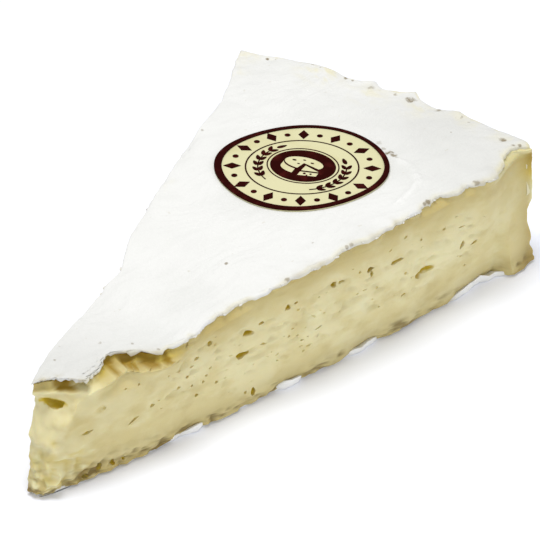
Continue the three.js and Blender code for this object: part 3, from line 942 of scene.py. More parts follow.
def raisedLine(x, y):
    nearest = np.full(np.shape(x), 99.0)
    spots = rindRelief["line"]
    for (x0, y0), (x1, y1) in zip(spots[:-1], spots[1:]):
        runX, runY = x1 - x0, y1 - y0
        t = np.clip(((x - x0) * runX + (y - y0) * runY) / (runX**2 + runY**2), 0, 1)
        nearest = np.minimum(nearest, np.hypot(x - mix(x0, x1, t), y - mix(y0, y1, t)))
    return rindRelief["lineHeight"] * bell(nearest, 0, rindRelief["lineHalfWidth"])


def markRelief(x, y):
    return sum(rindRelief["markHeight"] * share * spotBell(x, y, x0, y0, radius)
               for x0, y0, radius, share in rindRelief["marks"])


# cream stains of the rind: place, radius, strength
creamStains = [(179, 23, 6, 0.8), (176, 6, 5, 0.5), (174, 46.5, 4, 0.5), (165, 43, 3, 0.3),
               (104.5, 25.2, 2, 0.35), (178, -10, 5, 0.4), (176, -41, 4, 0.2), (150, -45, 2.5, 0.4),
               (132, -40.5, 2, 0.4), (17, 4, 2, 0.3)]


def toneRind(piece, s, fromFront, fromEnd, lift, onTop, onHeel, curl):
    x, y, z = fromMetres(readPoints(piece))
    # torn and dirty: bits of both edges and the cut end at the heel's foot; painted shade in the
    # folds' valleys
    torn = 0.5 * np.exp(-fromFront / 0.9) * smoothStep(0.2, 0.7, lumps(x, y, z, 4.5, seed=55))
    inFolds, foldUp = foldWave(s)
    foldShade = 0.5 * inFolds * np.exp(-fromFront / 1.6) * smoothStep(0.2, -0.9, foldUp) * onTop
    torn = np.maximum(torn, foldShade)
    for place, half, strength in rind["edgeStains"]:
        stain = strength * bell(s, place, half) * np.exp(-fromFront / 1.3) * onTop
        torn = np.maximum(torn, stain)
    dirt = smoothStep(-0.3, 0.4, lumps(x, y, 0, 1.8, seed=63))
    torn = np.maximum(torn, 0.7 * onTop * dirt * np.exp(-fromEnd / 1.2))
    inner = (1 - lift) * 0.15
    brownFoot = (onHeel | (s > 176)) * fade(4, 9, z) * np.exp(-fromFront / 3)
    curl = curl * bell(fromFront, 0, 4)
    setAttribute(piece, "torn", np.maximum(np.maximum(torn, inner) * (1 - curl), brownFoot))
    # duller towards the tip and the heel; a painted white highlight on the curled bits, whose
    # upright faces get little light, and on the raised line
    byHeel = 0.95 * smoothStep(138, 175, s) * (1 - 0.85 * smoothStep(-22, 20, y))
    dim = np.maximum(fade(22, 62, s), byHeel) + 0.2 * lumps(x, y, 0, 14, seed=61)
    line = onTop * raisedLine(x, y) / rindRelief["lineHeight"]
    setAttribute(piece, "dim", np.clip(dim, 0, 1) * (1 - np.maximum(curl, line)))
    setAttribute(piece, "fresh", np.maximum(curl, 0.5 * line))
    # cream: the worn edge by the heel, stains, a thin fringe, the rim and patches of the heel
    worn = 0.8 * smoothStep(164, 168, s) * (1 - 0.6 * smoothStep(172, 177, s))
    worn = worn * np.exp(-fromFront) * onTop
    stains = np.zeros(len(x))
    for x0, y0, radius, strength in creamStains:
        stains = np.maximum(stains, strength * spotBell(x, y, x0, y0, radius))
    stains = stains * smoothStep(-0.3, 0.4, lumps(x, y, z, 2.5, seed=56))
    fringe = 0.4 * onTop * np.exp(-fromFront / 0.6)
    fringe = fringe * smoothStep(-0.35, 0.25, lumps(x, y, 0, 3.5, seed=65))
    rimBand = onTop * 0.35 * smoothStep(174, 180, s)
    rimBand = rimBand * smoothStep(-0.2, 0.5, lumps(x, y, 0, 5, seed=57))
    heelPatches = 0.7 * smoothStep(0.1, 0.6, lumps(x, y, z, 6, seed=58))
    onSide = onHeel * np.maximum(heelPatches, np.exp(-fromFront / 2))
    setAttribute(piece, "cream", np.maximum.reduce([worn, stains, fringe, rimBand, onSide]))


# Label: a thin oval paper with a printed border and plain farm motifs
label = {
    "centre": (131.4, -1.3),
    "halfLength": 23.9,
    "halfWidth": 21.4,
    "turn": math.radians(-58.4),
    "printTurn": math.radians(-80.5),
    "above": 0.08,
    "thickness": 0.3,
    "ink": 0.06,
    # the paper's edge isn't a perfect oval, because the mould grows over it: waves round it, size
    # and start of each
    "wobble": [(2, 0.025, -0.42), (3, 0.008, -0.6), (4, 0.016, 2.43)],
    "borderWide": 1.7,
    "borderNarrow": 1.25,
    "borderShift": 0.3,
}


# share of the way from the label's centre to its edge
def labelReach(x, y):
    dx, dy = x - label["centre"][0], y - label["centre"][1]
    along, across = turnPlace(dx, dy, -label["turn"])
    return np.hypot(along / label["halfLength"], across / label["halfWidth"])


def underLabel(x, y):
    return fade(1.02, 1.2, labelReach(x, y))


# lays flat print, drawn around 0, 0 in millimetres, on the rind at its place
def layOnRind(piece, height, turn):
    x, y, thick = readPoints(piece).T
    x, y = turnPlace(x, y, turn)
    x, y = x + label["centre"][0], y + label["centre"][1]
    z = curves["topHeight"](np.hypot(x, y)) + height + thick
    movePoints(piece, toMetres(x, y, z))


# a flat oval with rings of faces, so that it can follow the rind
def ovalSheet(name, halfLength, halfWidth, rings=10, sides=160):
    deselectAll()
    bpy.ops.mesh.primitive_circle_add(vertices=sides, radius=1, fill_type="NGON")
    piece = bpy.context.object
    piece.name = name
    bpy.ops.object.mode_set(mode="EDIT")
    bpy.ops.mesh.select_all(action="SELECT")
    for _ in range(rings - 1):
        bpy.ops.mesh.inset(thickness=0.96 / rings)
    bpy.ops.mesh.poke()
    bpy.ops.object.mode_set(mode="OBJECT")
    movePoints(piece, readPoints(piece) * (halfLength, halfWidth, 1))
    return piece


# a printed shape from its outline: filled, cut into small faces and given the ink's thickness
def inkShape(outline, holesIn=()):
    mesh = bpy.data.meshes.new("inkShape")
    points, edges = [], []
    for ring in (outline, *holesIn):
        first = len(points)
        points += [(x, y, 0.0) for x, y in ring]
        edges += [(first + i, first + (i + 1) % len(ring)) for i in range(len(ring))]
    mesh.from_pydata(points, edges, [])
    piece = bpy.data.objects.new("inkShape", mesh)
    bpy.context.collection.objects.link(piece)
    selectOnly(piece)
    bpy.ops.object.mode_set(mode="EDIT")
    bpy.ops.mesh.select_all(action="SELECT")
    bpy.ops.mesh.fill()
    bpy.ops.object.mode_set(mode="OBJECT")
    return piece


def ovalOutline(halfLength, halfWidth, sides=120, shift=(0.0, 0.0), reach=None):
    ring = []
    for i in range(sides):
        angle = 2 * math.pi * i / sides
        stretch = 1 + (reach(angle) if reach else 0)
        ring.append((math.cos(angle) * halfLength * stretch + shift[0],
                     math.sin(angle) * halfWidth * stretch + shift[1]))
    return ring


def turned(outline, angle, shift):
    places = [turnPlace(x, y, angle) for x, y in outline]
    return [(x + shift[0], y + shift[1]) for x, y in places]


def labelWobble(angle):
    return sum(size * math.sin(waves * angle + start) for waves, size, start in label["wobble"])


def makeLabel():
    paper = ovalSheet("labelPaper", label["halfLength"], label["halfWidth"])
    points = readPoints(paper)
    angles = np.arctan2(points[:, 1] / label["halfWidth"], points[:, 0] / label["halfLength"])
    points[:, :2] *= (1 + np.array([labelWobble(a) for a in angles]))[:, None]
    movePoints(paper, points)
    layOnRind(paper, label["above"] + label["thickness"], label["turn"])
    applyModifier(paper, "SOLIDIFY", thickness=label["thickness"] * mm, offset=-1)
    smoothShade(paper)
    return paper


def finishInk(shapes, name, turn, thickness=label["ink"] * 0.9):
    piece = joinPieces(shapes, name)
    layOnRind(piece, label["above"] + label["thickness"] + label["ink"], turn)
    applyModifier(piece, "SOLIDIFY", thickness=thickness * mm, offset=-1)
    return piece


# the border is thicker on one side, and its ink covers the paper's edge
def makeBorder():
    wide, narrow = label["halfLength"], label["halfWidth"]
    outer = ovalOutline(wide * 1.003, narrow * 1.003, 180, reach=labelWobble)
    shift = label["borderShift"]
    inner = ovalOutline(wide - label["borderWide"], narrow - label["borderNarrow"], 180,
                        shift=(shift, shift), reach=labelWobble)
    return finishInk([inkShape(outer, [inner])], "labelBorder", label["turn"],
                     label["thickness"] + label["ink"])


# the print: a ring of diamonds and dots, and a wheel of cheese in an oval between ears of wheat
motifs = {
    "ring": 24,
    "ringReach": 0.8,
    "diamondLength": 4.9,
    "diamondWidth": 3.0,
    "dot": 0.85,
    "lineReach": 0.655,
    "lineWidth": 0.018,
    "ovalLength": 9.2,
    "ovalWidth": 8,
    "stalkRadius": 12.2,
    "grains": 6,
    "grainLength": 3.1,
    "grainWidth": 1.45,
}


# a place on the label's oval, at a share of its reach, in the print's own directions
def ovalSpot(angle, reach):
    fromLong = angle - (label["turn"] - label["printTurn"])
    wide, narrow = label["halfLength"], label["halfWidth"]
    far = reach / math.hypot(math.cos(fromLong) / wide, math.sin(fromLong) / narrow)
    return far * math.cos(angle), far * math.sin(angle)


def leafOutline(length, width, sides=16):
    ring = []
    for i in range(sides):
        angle = 2 * math.pi * i / sides
        pointed = abs(math.sin(angle / 2)) ** 0.5
        ring.append((length / 2 * math.cos(angle), width / 2 * math.sin(angle) * pointed))
    return ring


def mirrored(outline, side):
    return [(side * x, y) for x, y in outline]


def strokeOutline(points, width):
    ends = list(zip(points[:-1], points[1:]))
    sides = []
    for (x0, y0), (x1, y1) in ends + [ends[-1]]:
        length = math.hypot(x1 - x0, y1 - y0)
        sides.append((-(y1 - y0) / length * width / 2, (x1 - x0) / length * width / 2))
    left = [(x + dx, y + dy) for (x, y), (dx, dy) in zip(points, sides)]
    right = [(x - dx, y - dy) for (x, y), (dx, dy) in zip(points, sides)]
    return left + right[::-1]


def arcPoints(radiusX, radiusY, start, end, centre=(0.0, 0.0), count=28):
    angles = np.radians(np.linspace(start, end, count))
    return [(radiusX * math.cos(a) + centre[0], radiusY * math.sin(a) + centre[1]) for a in angles]


def makeRing():
    shapes = []
    for i in range(motifs["ring"]):
        angle = 2 * math.pi * (i + 0.5) / motifs["ring"]
        spot = ovalSpot(angle, motifs["ringReach"])
        if i % 2:
            long, wide = motifs["diamondLength"] / 2, motifs["diamondWidth"] / 2
            corners = [(long, 0), (0, wide), (-long, 0), (0, -wide)]
            shapes.append(inkShape(turned(corners, angle, spot)))
        else:
            size = motifs["dot"]
            shapes.append(inkShape(ovalOutline(size, size, 16, shift=spot)))
    reaches = (motifs["lineReach"], motifs["lineReach"] - motifs["lineWidth"])
    outside, inside = ([ovalSpot(2 * math.pi * i / 120, reach) for i in range(120)]
                       for reach in reaches)
    shapes.append(inkShape(outside, [inside]))
    return finishInk(shapes, "labelRing", label["printTurn"])


# an ear of wheat on each side: a bent stalk with pairs of grains and one at its end
def makeWheat():
    shapes = []
    far = motifs["stalkRadius"]
    for side in (-1, 1):
        stalk = mirrored(arcPoints(far, far - 0.6, -58, 24), side)
        shapes.append(inkShape(strokeOutline(stalk, 0.36)))
        for i in range(motifs["grains"]):
            angle = math.radians(-46 + 13.5 * i)
            x, y = far * math.cos(angle), (far - 0.6) * math.sin(angle)
            heading = angle + math.pi / 2
            for spread in (-0.5, 0.5):
                grain = leafOutline(motifs["grainLength"] * 0.8, motifs["grainWidth"])
                reach = motifs["grainLength"] * 0.34
                leaning = heading + spread * 1.6
                spot = (x + reach * math.cos(leaning), y + reach * math.sin(leaning))
                shapes.append(inkShape(mirrored(turned(grain, heading + spread, spot), side)))
        tip = (far * math.cos(math.radians(40)), (far - 0.6) * math.sin(math.radians(40)))
        grain = leafOutline(motifs["grainLength"], motifs["grainWidth"])
        shapes.append(inkShape(mirrored(turned(grain, math.radians(130), tip), side)))
    return finishInk(shapes, "labelWheat", label["printTurn"])


# the wheel of cheese, left clear of ink in a dark oval, with one wedge drawn out of it
def makeWheelDrawing():
    centreY = 0.6
    oval = ovalOutline(motifs["ovalLength"], motifs["ovalWidth"], 72, shift=(0, centreY))
    top = arcPoints(5.6, 3, -28, 262, (-0.3, centreY + 1.4)) + [(-0.3, centreY + 1.4)]
    side = arcPoints(5.6, 3, 180, 258, (-0.3, centreY + 0.8))
    side += arcPoints(5.6, 3, 258, 180, (-0.3, centreY - 1.5))
    wedgeTop = [(0.6, centreY + 0.5), (5.4, centreY - 1.3), (0.4, centreY - 2.3)]
    wedgeSide = [(0.4, centreY - 2.9), (5.4, centreY - 1.9), (5.4, centreY - 3.7),
                 (0.4, centreY - 4.9)]
    shapes = [inkShape(oval, [top, side, wedgeTop, wedgeSide])]
    for x, y, size in ((-3.4, 1.9, 0.6), (-0.8, 2.9, 0.45), (1.8, 2.2, 0.5), (-1.6, 0.6, 0.42)):
        shapes.append(inkShape(ovalOutline(size, size * 0.55, 14, shift=(x, centreY + y))))
    for x, y, size in ((1.9, -3.4, 0.42), (3.6, -3.1, 0.34), (2.8, -4.0, 0.26)):
        shapes.append(inkShape(ovalOutline(size, size, 14, shift=(x, centreY + y))))
    ring, ringIn = (ovalOutline(motifs["ovalLength"] + more, motifs["ovalWidth"] + more, 72,
                                shift=(0, centreY)) for more in (0.95, 0.6))
    shapes.append(inkShape(ring, [ringIn]))
    return finishInk(shapes, "labelDrawing", label["printTurn"])


# Flakes: bits of torn rind that stand at its edges
flakes = {"front": 46, "back": 8, "seed": 21, "smallest": 0.25, "largest": 0.6}


def makeFlakes():
    draw = random.Random(flakes["seed"])
    made = []
    deselectAll()
    for index in range(flakes["front"] + flakes["back"]):
        onFront = index < flakes["front"]
        s = draw.uniform(50, 168)
        size = draw.triangular(flakes["smallest"], flakes["largest"], flakes["smallest"])
        edge = float((curves["rindEdge"] if onFront else curves["back"])(np.array(s)))
        along, outward = cutDirections["front" if onFront else "back"]
        torn = float(raggedFront(np.array([s]))[0]) if onFront else 0.0
        plan = along * s + outward * (edge + torn - 0.1 + draw.uniform(-0.2, 0.1))
        z = float(curves["topHeight"](np.array(s))) - draw.uniform(0.5, 1.1)
        bpy.ops.mesh.primitive_ico_sphere_add(subdivisions=2, radius=size)
        flake = bpy.context.object
        points = readPoints(flake)
        wobble = lumps(*(points.T / size), 1.1, octaves=2, seed=index + 200)
        stretch = (draw.uniform(0.9, 2.0), draw.uniform(0.4, 0.8), 0.5)
        points = points * (1 + 0.7 * wobble)[:, None] * stretch
        turn = (-wheel["halfAngle"] if onFront else wheel["halfAngle"]) + draw.uniform(-0.5, 0.5)
        x, y = turnPlace(points[:, 0], points[:, 1], turn)
        movePoints(flake, toMetres(x + plan[0], y + plan[1], points[:, 2] + z))
        made.append(flake)
    piece = joinPieces(made, "rindFlakes")
    smoothShade(piece, 60)
    return piece


# Materials
colours = {
    "rindWhite": (0.772, 0.772, 0.75, 1),
    "rindDim": (0.665, 0.665, 0.64, 1),
    # painted white highlight for the curled bits, the raised line and the flakes
    "rindFreshAndLit": (0.95, 0.95, 0.93, 1),
    "rindGrey": (0.66, 0.665, 0.635, 1),
    # torn rind, also used as painted shade in the folds' valleys
    "rindTornAndShade": (0.46, 0.4, 0.25, 1),
    "rindCream": (0.74, 0.69, 0.45, 1),
    "spotBrown": (0.2, 0.15, 0.07, 1),
    "pasteMiddle": (0.67, 0.585, 0.295, 1),
    "pastePale": (0.77, 0.715, 0.43, 1),
    # pale worn paste, also used for painted highlights on the lip and the tip's lumps
    "pasteWornAndLit": (0.72, 0.685, 0.41, 1),
    "pasteByRind": (0.475, 0.375, 0.138, 1),
    # golden painted shade in the holes and hollows, and the paste's own gold by the heel's top
    "pasteShadeAndGold": (0.56, 0.415, 0.035, 1),
    # painted shade in the ledge's pits and right under the tip's rind
    "pastePitShade": (0.3, 0.185, 0.012, 1),
    "pasteGolden": (0.3, 0.2, 0.035, 1),
    # brown of the foot's gaps, also painted shade right under the tip's rind
    "pasteBrownAndShade": (0.24, 0.175, 0.06, 1),
    "paper": (0.655, 0.625, 0.38, 1),
    "paperFoxed": (0.6, 0.56, 0.31, 1),
    "ink": (0.024, 0.0018, 0.0012, 1),
    "inkWorn": (0.05, 0.005, 0.004, 1),
    "floor": (0.89, 0.91, 0.985, 1),
}


def newMaterial(name, settings):
    material = bpy.data.materials.new(name)
    material.use_nodes = True
    shader = material.node_tree.nodes["Principled BSDF"]
    for key, value in settings.items():
        shader.inputs[key].default_value = value
    return material, material.node_tree, shader


def addNode(tree, kind, **values):
    node = tree.nodes.new(kind)
    for key, value in values.items():
        if hasattr(node, key):
            setattr(node, key, value)
        else:
            node.inputs[key].default_value = value
    return node


def calculate(tree, operation, a, b):
    node = addNode(tree, "ShaderNodeMath", operation=operation)
    for socket, value in zip(node.inputs, (a, b)):
        if isinstance(value, (int, float)):
            socket.default_value = value
        else:
            tree.links.new(value, socket)
    return node.outputs[0]


# a new node group with its inputs' first values, and its two end nodes
def newGroup(name, inputs, output):
    group = bpy.data.node_groups.new(name, "ShaderNodeTree")
    for key, value in inputs.items():
        kind = "NodeSocketFloat" if isinstance(value, (int, float)) else "NodeSocketVector"
        socket = group.interface.new_socket(name=key, in_out="INPUT", socket_type=kind)
        if value is not None:
            socket.default_value = value
    group.interface.new_socket(name=output, in_out="OUTPUT", socket_type="NodeSocketFloat")
    return group, group.nodes.new("NodeGroupInput"), group.nodes.new("NodeGroupOutput")


# node group: soft blotches over the object, from 0 to 1
def makeBlotches():
    inputs = {"Vector": None, "Size": 0.01, "Stretch": (1, 1, 1), "Detail": 4, "Low": 0.4,
              "High": 0.6}
    group, inside, out = newGroup("blotches", inputs, "Mask")
    stretch = addNode(group, "ShaderNodeVectorMath", operation="MULTIPLY")
    texture = addNode(group, "ShaderNodeTexNoise")
    spread = addNode(group, "ShaderNodeMapRange", interpolation_type="SMOOTHSTEP")
    scale = calculate(group, "DIVIDE", 1, inside.outputs["Size"])
    for start, end in (
        (inside.outputs["Vector"], stretch.inputs[0]),
        (inside.outputs["Stretch"], stretch.inputs[1]),
        (stretch.outputs[0], texture.inputs["Vector"]), (scale, texture.inputs["Scale"]),
        (inside.outputs["Detail"], texture.inputs["Detail"]),
        (texture.outputs["Fac"], spread.inputs["Value"]),
        (inside.outputs["Low"], spread.inputs["From Min"]),
        (inside.outputs["High"], spread.inputs["From Max"]),
        (spread.outputs["Result"], out.inputs["Mask"]),
    ):
        group.links.new(start, end)
    return group


# node group: a fine grain that feeds a Bump node's height
def makeGrain():
    inputs = {"Vector": None, "Coarse": 0.003, "Fine": 0.0006, "Fine Share": 0.4}
    group, inside, out = newGroup("grain", inputs, "Height")
    heights = []
    for name, detail in (("Coarse", 5), ("Fine", 3)):
        texture = addNode(group, "ShaderNodeTexNoise", Detail=detail)
        scale = calculate(group, "DIVIDE", 1, inside.outputs[name])
        group.links.new(scale, texture.inputs["Scale"])
        group.links.new(inside.outputs["Vector"], texture.inputs["Vector"])
        heights.append(texture.outputs["Fac"])
    blend = addNode(group, "ShaderNodeMix", data_type="FLOAT")
    group.links.new(inside.outputs["Fine Share"], blend.inputs["Factor"])
    group.links.new(heights[0], blend.inputs["A"])
    group.links.new(heights[1], blend.inputs["B"])
    group.links.new(blend.outputs["Result"], out.inputs["Height"])
    return group


blotches = makeBlotches()
grain = makeGrain()


def blotch(tree, coordinates, size, low, high, stretch=(1, 1, 1), detail=4):
    node = addNode(tree, "ShaderNodeGroup", node_tree=blotches, Size=size, Low=low, High=high,
                   Stretch=stretch, Detail=detail)
    tree.links.new(coordinates, node.inputs["Vector"])
    return node.outputs["Mask"]


def objectPlace(tree):
    return addNode(tree, "ShaderNodeTexCoord").outputs["Object"]


def attribute(tree, name):
    return addNode(tree, "ShaderNodeAttribute", attribute_name=name).outputs["Fac"]


def times(tree, a, b):
    return calculate(tree, "MULTIPLY", a, b)


# lays a colour over what is below it, by a mask
def layer(tree, below, colour, mask):
    node = addNode(tree, "ShaderNodeMix", data_type="RGBA")
    sockets = (node.inputs["Factor"], node.inputs[6], node.inputs[7])
    for socket, value in zip(sockets, (mask, below, colour)):
        if isinstance(value, (tuple, float, int)):
            socket.default_value = value
        else:
            tree.links.new(value, socket)
    return node.outputs[2]


def addGrain(tree, shader, coordinates, coarse, fine, fineShare, strength, distance):
    node = addNode(tree, "ShaderNodeGroup", node_tree=grain, Coarse=coarse, Fine=fine,
                   **{"Fine Share": fineShare})
    tree.links.new(coordinates, node.inputs["Vector"])
    bump = addNode(tree, "ShaderNodeBump", Strength=strength, Distance=distance)
    tree.links.new(node.outputs["Height"], bump.inputs["Height"])
    tree.links.new(bump.outputs["Normal"], shader.inputs["Normal"])
    return bump


# how far out the brown spots of the mould reach, in their own radius with the noise added
spots = {"radiusShare": 0.75, "raggedness": 1.6, "outer": 2.1, "inner": 1.3}

# the spots: place on the wheel, radius and strength
rindSpots = [
    (83.3, -9.1, 0.8, 0.75), (102.2, -24, 0.5, 0.35), (100.4, -10.8, 0.5, 0.25),
    (94.9, -11.6, 0.5, 0.25), (132.7, 32.6, 0.7, 0.45), (26.3, 5.9, 0.6, 0.8),
    (32.3, 8.6, 0.5, 0.5), (39.2, 0.7, 0.7, 0.5), (43.2, -6.7, 0.6, 0.45), (176.1, 40, 0.8, 0.9),
    (177.4, 38.2, 0.6, 0.7), (180, 27.3, 0.7, 0.5), (180.1, 24.7, 0.6, 0.5),
    (179.6, 15.9, 0.9, 0.8), (179.3, 13.4, 0.6, 0.7), (178.9, 7.1, 1.4, 0.45),
    (180.1, -0.4, 0.9, 0.6), (180.2, -5.3, 1.9, 0.85), (179.1, -15.2, 1.0, 0.7),
    (180.2, -22.1, 0.8, 0.6), (179, -25.3, 0.8, 0.6), (170.8, -24.5, 0.5, 0.5),
    (176, -38.2, 1.3, 0.85), (174.9, -42.2, 0.8, 0.7), (176, -43.6, 0.8, 0.7),
    (151.8, -16.5, 1.6, 0.95), (151.2, -18.4, 1.1, 0.8), (150.6, -19.8, 0.8, 0.6),
    (155.2, -11, 1.3, 0.3), (153.3, -13.6, 1.1, 0.4), (152.7, -44.1, 1.3, 0.6),
    (136.7, -38.6, 1.3, 0.85), (135, -38.6, 1.0, 0.7), (107, -33.4, 1.1, 0.55),
    (105.4, -32.9, 0.9, 0.5), (85.4, -27.2, 1.2, 0.6), (16, 2.5, 1.3, 0.5), (31.8, -5.4, 0.6, 0.5),
    (39.8, -9.2, 0.7, 0.5), (45, -13.9, 0.8, 0.55),
]


def makeRindMaterial():
    material, tree, shader = newMaterial("rindMould", {
        "Roughness": 0.92, "Specular IOR Level": 0.2, "Sheen Weight": 0.25, "Sheen Roughness": 0.6,
    })
    coordinates = objectPlace(tree)
    # brushed streaks that run at a slant and wander a little
    mapping = addNode(tree, "ShaderNodeMapping", Rotation=(0, 0, -rind["streakTurn"]))
    tree.links.new(coordinates, mapping.inputs["Vector"])
    wander = addNode(tree, "ShaderNodeTexNoise", Scale=30.0, Detail=1.0)
    tree.links.new(coordinates, wander.inputs["Vector"])
    bent = addNode(tree, "ShaderNodeVectorMath", operation="MULTIPLY_ADD")
    bent.inputs[1].default_value = (0.02, 0.03, 0)
    tree.links.new(wander.outputs["Color"], bent.inputs[0])
    tree.links.new(mapping.outputs["Vector"], bent.inputs[2])
    alongStreaks = bent.outputs["Vector"]

    colour = layer(tree, colours["rindWhite"], colours["rindDim"], attribute(tree, "dim"))
    # painted white highlight on the curled bits and the raised line
    colour = layer(tree, colour, colours["rindFreshAndLit"], attribute(tree, "fresh"))
    streaks = blotch(tree, alongStreaks, 0.003, 0.45, 0.8, stretch=(0.2, 1, 1), detail=6)
    colour = layer(tree, colour, colours["rindGrey"], times(tree, streaks, 0.22))
    patches = blotch(tree, coordinates, 0.03, 0.42, 0.7)
    colour = layer(tree, colour, colours["rindGrey"], times(tree, patches, 0.45))
    specks = blotch(tree, coordinates, 0.0022, 0.7, 0.78, detail=2)
    colour = layer(tree, colour, colours["rindTornAndShade"], times(tree, specks, 0.25))
    colour = layer(tree, colour, colours["rindCream"], attribute(tree, "cream"))
    # torn and dirty bits, with painted shade in the folds' valleys
    colour = layer(tree, colour, colours["rindTornAndShade"], attribute(tree, "torn"))
    colour = layer(tree, colour, colours["spotBrown"], spotMask(tree, coordinates))
    tree.links.new(colour, shader.inputs["Base Color"])
    bump = addGrain(tree, shader, coordinates, 0.003, 0.0007, 0.45, 0.5, 0.0006)
    brushed = blotch(tree, alongStreaks, 0.0026, 0.3, 0.7, stretch=(0.3, 1, 1), detail=4)
    streakBump = addNode(tree, "ShaderNodeBump", Strength=0.25, Distance=0.0006)
    tree.links.new(brushed, streakBump.inputs["Height"])
    tree.links.new(streakBump.outputs["Normal"], bump.inputs["Normal"])
    return material


def spotMask(tree, coordinates):
    centreX, centreY = wheel["centre"]
    wander = addNode(tree, "ShaderNodeTexNoise", Scale=900.0, Detail=2.0)
    tree.links.new(coordinates, wander.inputs["Vector"])
    total = None
    for x, y, radius, strength in rindSpots:
        z = float(curves["topHeight"](math.hypot(x, y)))
        far = addNode(tree, "ShaderNodeVectorMath", operation="DISTANCE")
        far.inputs[1].default_value = ((x + centreX) * mm, (y + centreY) * mm, z * mm)
        tree.links.new(coordinates, far.inputs[0])
        reach = calculate(tree, "DIVIDE", far.outputs["Value"], radius * spots["radiusShare"] * mm)
        noisy = times(tree, wander.outputs["Fac"], spots["raggedness"])
        ragged = calculate(tree, "ADD", reach, noisy)
        limits = {"From Min": spots["outer"], "From Max": spots["inner"], "To Max": strength}
        ramp = addNode(tree, "ShaderNodeMapRange", interpolation_type="SMOOTHSTEP", **limits)
        tree.links.new(ragged, ramp.inputs["Value"])
        mask = ramp.outputs["Result"]
        total = mask if total is None else calculate(tree, "MAXIMUM", total, mask)
    return total


def makePasteMaterial():
    material, tree, shader = newMaterial("cheesePaste", {
        "Roughness": 0.55, "Specular IOR Level": 0.25, "Subsurface Weight": 0.3,
        "Subsurface Radius": (1.0, 0.7, 0.35), "Subsurface Scale": 0.002,
    })
    coordinates = objectPlace(tree)

    colour = colours["pasteMiddle"]
    eyes = times(tree, attribute(tree, "eyes"), blotch(tree, coordinates, 0.009, 0.35, 0.65))
    colour = layer(tree, colour, colours["pastePale"], eyes)
    mottled = blotch(tree, coordinates, 0.0055, 0.48, 0.72, stretch=(0.6, 0.6, 1))
    colour = layer(tree, colour, colours["pasteByRind"], times(tree, mottled, 0.38))
    creamy = blotch(tree, coordinates, 0.009, 0.46, 0.62, stretch=(0.6, 0.6, 1))
    colour = layer(tree, colour, colours["pastePale"], times(tree, creamy, 0.6))
    wander = blotch(tree, coordinates, 0.008, 0.3, 0.7, stretch=(0.4, 0.4, 1))
    wander = calculate(tree, "ADD", times(tree, wander, 0.5), 0.6)
    # darker by the rind, with painted shade on the ledge under the tip's rind
    nearRind = times(tree, attribute(tree, "nearRind"), wander)
    colour = layer(tree, colour, colours["pasteByRind"], nearRind)
    # worn paste with painted highlights, painted shade in holes, pits and under the tip's rind,
    # gold and brown
    for tint, tone in (("pasteWornAndLit", "worn"), ("pasteShadeAndGold", "cavityShadeAndGold"), ("pastePitShade", "pits"),
                       ("pasteGolden", "golden"), ("pasteBrownAndShade", "brown")):
        colour = layer(tree, colour, colours[tint], attribute(tree, tone))
    tree.links.new(colour, shader.inputs["Base Color"])
    addGrain(tree, shader, coordinates, 0.002, 0.0005, 0.3, 0.3, 0.0004)
    return material


# paper and ink: the shader's values, the two tints, size and range of the blotches, grain
labelLooks = {
    "labelPaper": ({"Roughness": 0.75, "Specular IOR Level": 0.2}, ("paper", "paperFoxed"),
                   (0.008, 0.45, 0.75), 0.2),
    "labelInk": ({"Roughness": 0.7, "Specular IOR Level": 0.02}, ("ink", "inkWorn"),
                 (0.0035, 0.5, 0.72), 0.15),
}


def makeLabelMaterial(name):
    settings, (tint, wornTint), patches, strength = labelLooks[name]
    material, tree, shader = newMaterial(name, settings)
    coordinates = objectPlace(tree)
    worn = blotch(tree, coordinates, *patches)
    tree.links.new(layer(tree, colours[tint], colours[wornTint], worn), shader.inputs["Base Color"])
    addGrain(tree, shader, coordinates, 0.0016, 0.0003, 0.6, strength, 0.0002)
    return material


def makeFloorMaterial():
    return newMaterial("paleFloor", {
        "Base Color": colours["floor"], "Roughness": 0.9, "Specular IOR Level": 0.0,
        "Emission Color": (1, 1, 1, 1), "Emission Strength": studio["floorGlow"],
    })[0]


def finishPiece(piece, material, node):
    piece.data.materials.clear()
    piece.data.materials.append(material)
    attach(piece, "root")
    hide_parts(node)


# Build
pastePiece = makePaste()
print("paste shaped:", len(pastePiece.data.polygons), "faces")
cutHoles(pastePiece)
tonePaste(pastePiece)
smoothShade(pastePiece, 55)
print("holes cut:", len(pastePiece.data.polygons), "faces")
rindPiece = makeRind()
smoothShade(rindPiece, 70)
print("rind laid:", len(rindPiece.data.polygons), "faces")
flakePiece = makeFlakes()
# the flakes' even tones, with a little of the painted white highlight
evenTones(flakePiece, torn=0.3, cream=0.0, dim=0.4, fresh=0.3)
print("flakes added")
labelPaper = makeLabel()
inkPieces = [makeBorder(), makeRing(), makeWheat(), makeWheelDrawing()]
print("label printed")

rindMaterial = makeRindMaterial()
finishPiece(pastePiece, makePasteMaterial(), "cheese")
finishPiece(rindPiece, rindMaterial, "cheese")
finishPiece(flakePiece, rindMaterial, "cheese")
finishPiece(labelPaper, makeLabelMaterial("labelPaper"), "label")
inkMaterial = makeLabelMaterial("labelInk")
for inkPiece in inkPieces:
    finishPiece(inkPiece, inkMaterial, "label")
print("materials set")

# Studio: a pale floor that glows faintly, an even white sky, a soft key lamp nearly overhead and a
# larger, weaker one in front on the left
studio = {
    "floorSize": 6.0,
    "floorGlow": 0.05,
    "skyStrength": 0.45,
    "keyPower": 5.3,
    "keySize": 0.42,
    "keyPlace": (-0.02, 0.1, 0.87),
    "fillPower": 4.2,
    "fillSize": 1.0,
    "fillPlace": (-0.45, -1.0, 0.6),
}


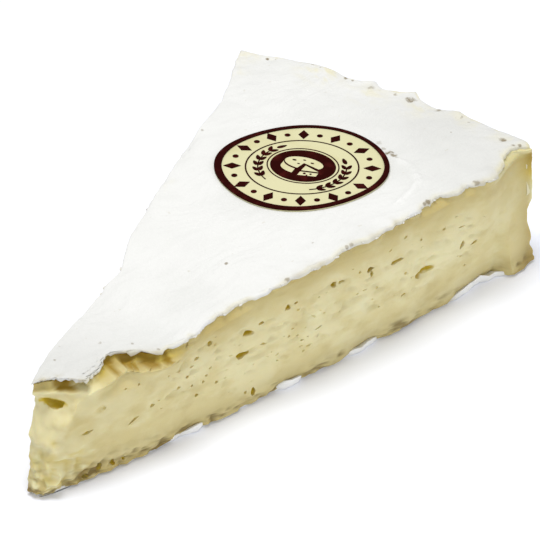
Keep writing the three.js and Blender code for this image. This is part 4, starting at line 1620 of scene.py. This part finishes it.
def makeFloor():
    deselectAll()
    bpy.ops.mesh.primitive_plane_add(size=studio["floorSize"])
    floor = bpy.context.object
    floor.name = "studioFloor"
    floor.data.materials.append(makeFloorMaterial())


def makeLamp(name, place, power, size):
    data = bpy.data.lights.new(name, "AREA")
    data.energy = power
    data.size = size
    lamp = bpy.data.objects.new(name, data)
    bpy.context.collection.objects.link(lamp)
    lamp.location = place
    lamp.rotation_mode = "QUATERNION"
    lamp.rotation_quaternion = (Vector((0, 0, 0)) - lamp.location).to_track_quat("-Z", "Y")


def makeSky():
    world = bpy.data.worlds.new("studioSky")
    world.use_nodes = True
    background = world.node_tree.nodes["Background"].inputs
    background["Color"].default_value = (1, 1, 1, 1)
    background["Strength"].default_value = studio["skyStrength"]
    bpy.context.scene.world = world


makeFloor()
makeSky()
makeLamp("keyLamp", studio["keyPlace"], studio["keyPower"], studio["keySize"])
makeLamp("fillLamp", studio["fillPlace"], studio["fillPower"], studio["fillSize"])
bpy.context.scene.view_settings.view_transform = "Standard"

# Camera: where the photograph was taken from; distance and aim in millimetres
camera = {
    "lens": 318.9,
    "sensor": 36.0,
    "distance": 1300.0,
    "azimuth": math.radians(-56.17),
    "elevation": math.radians(33.29),
    "aim": (111.21, -4.29, 16.0),
}


def makeCamera():
    data = bpy.data.cameras.new("camera")
    data.lens = camera["lens"]
    data.sensor_width = camera["sensor"]
    data.clip_start = 0.05
    data.clip_end = 20
    place = bpy.data.objects.new("camera", data)
    bpy.context.collection.objects.link(place)
    azimuth, elevation = camera["azimuth"], camera["elevation"]
    level = math.cos(elevation)
    back = Vector((math.sin(azimuth) * level, -math.cos(azimuth) * level, math.sin(elevation)))
    aimX, aimY, aimZ = camera["aim"]
    aim = Vector(toMetres(np.array([aimX]), np.array([aimY]), np.array([aimZ]))[0])
    place.location = aim + back * camera["distance"] * mm
    place.rotation_mode = "QUATERNION"
    place.rotation_quaternion = (-back).to_track_quat("-Z", "Y")
    bpy.context.scene.camera = place


makeCamera()
print("studio ready")
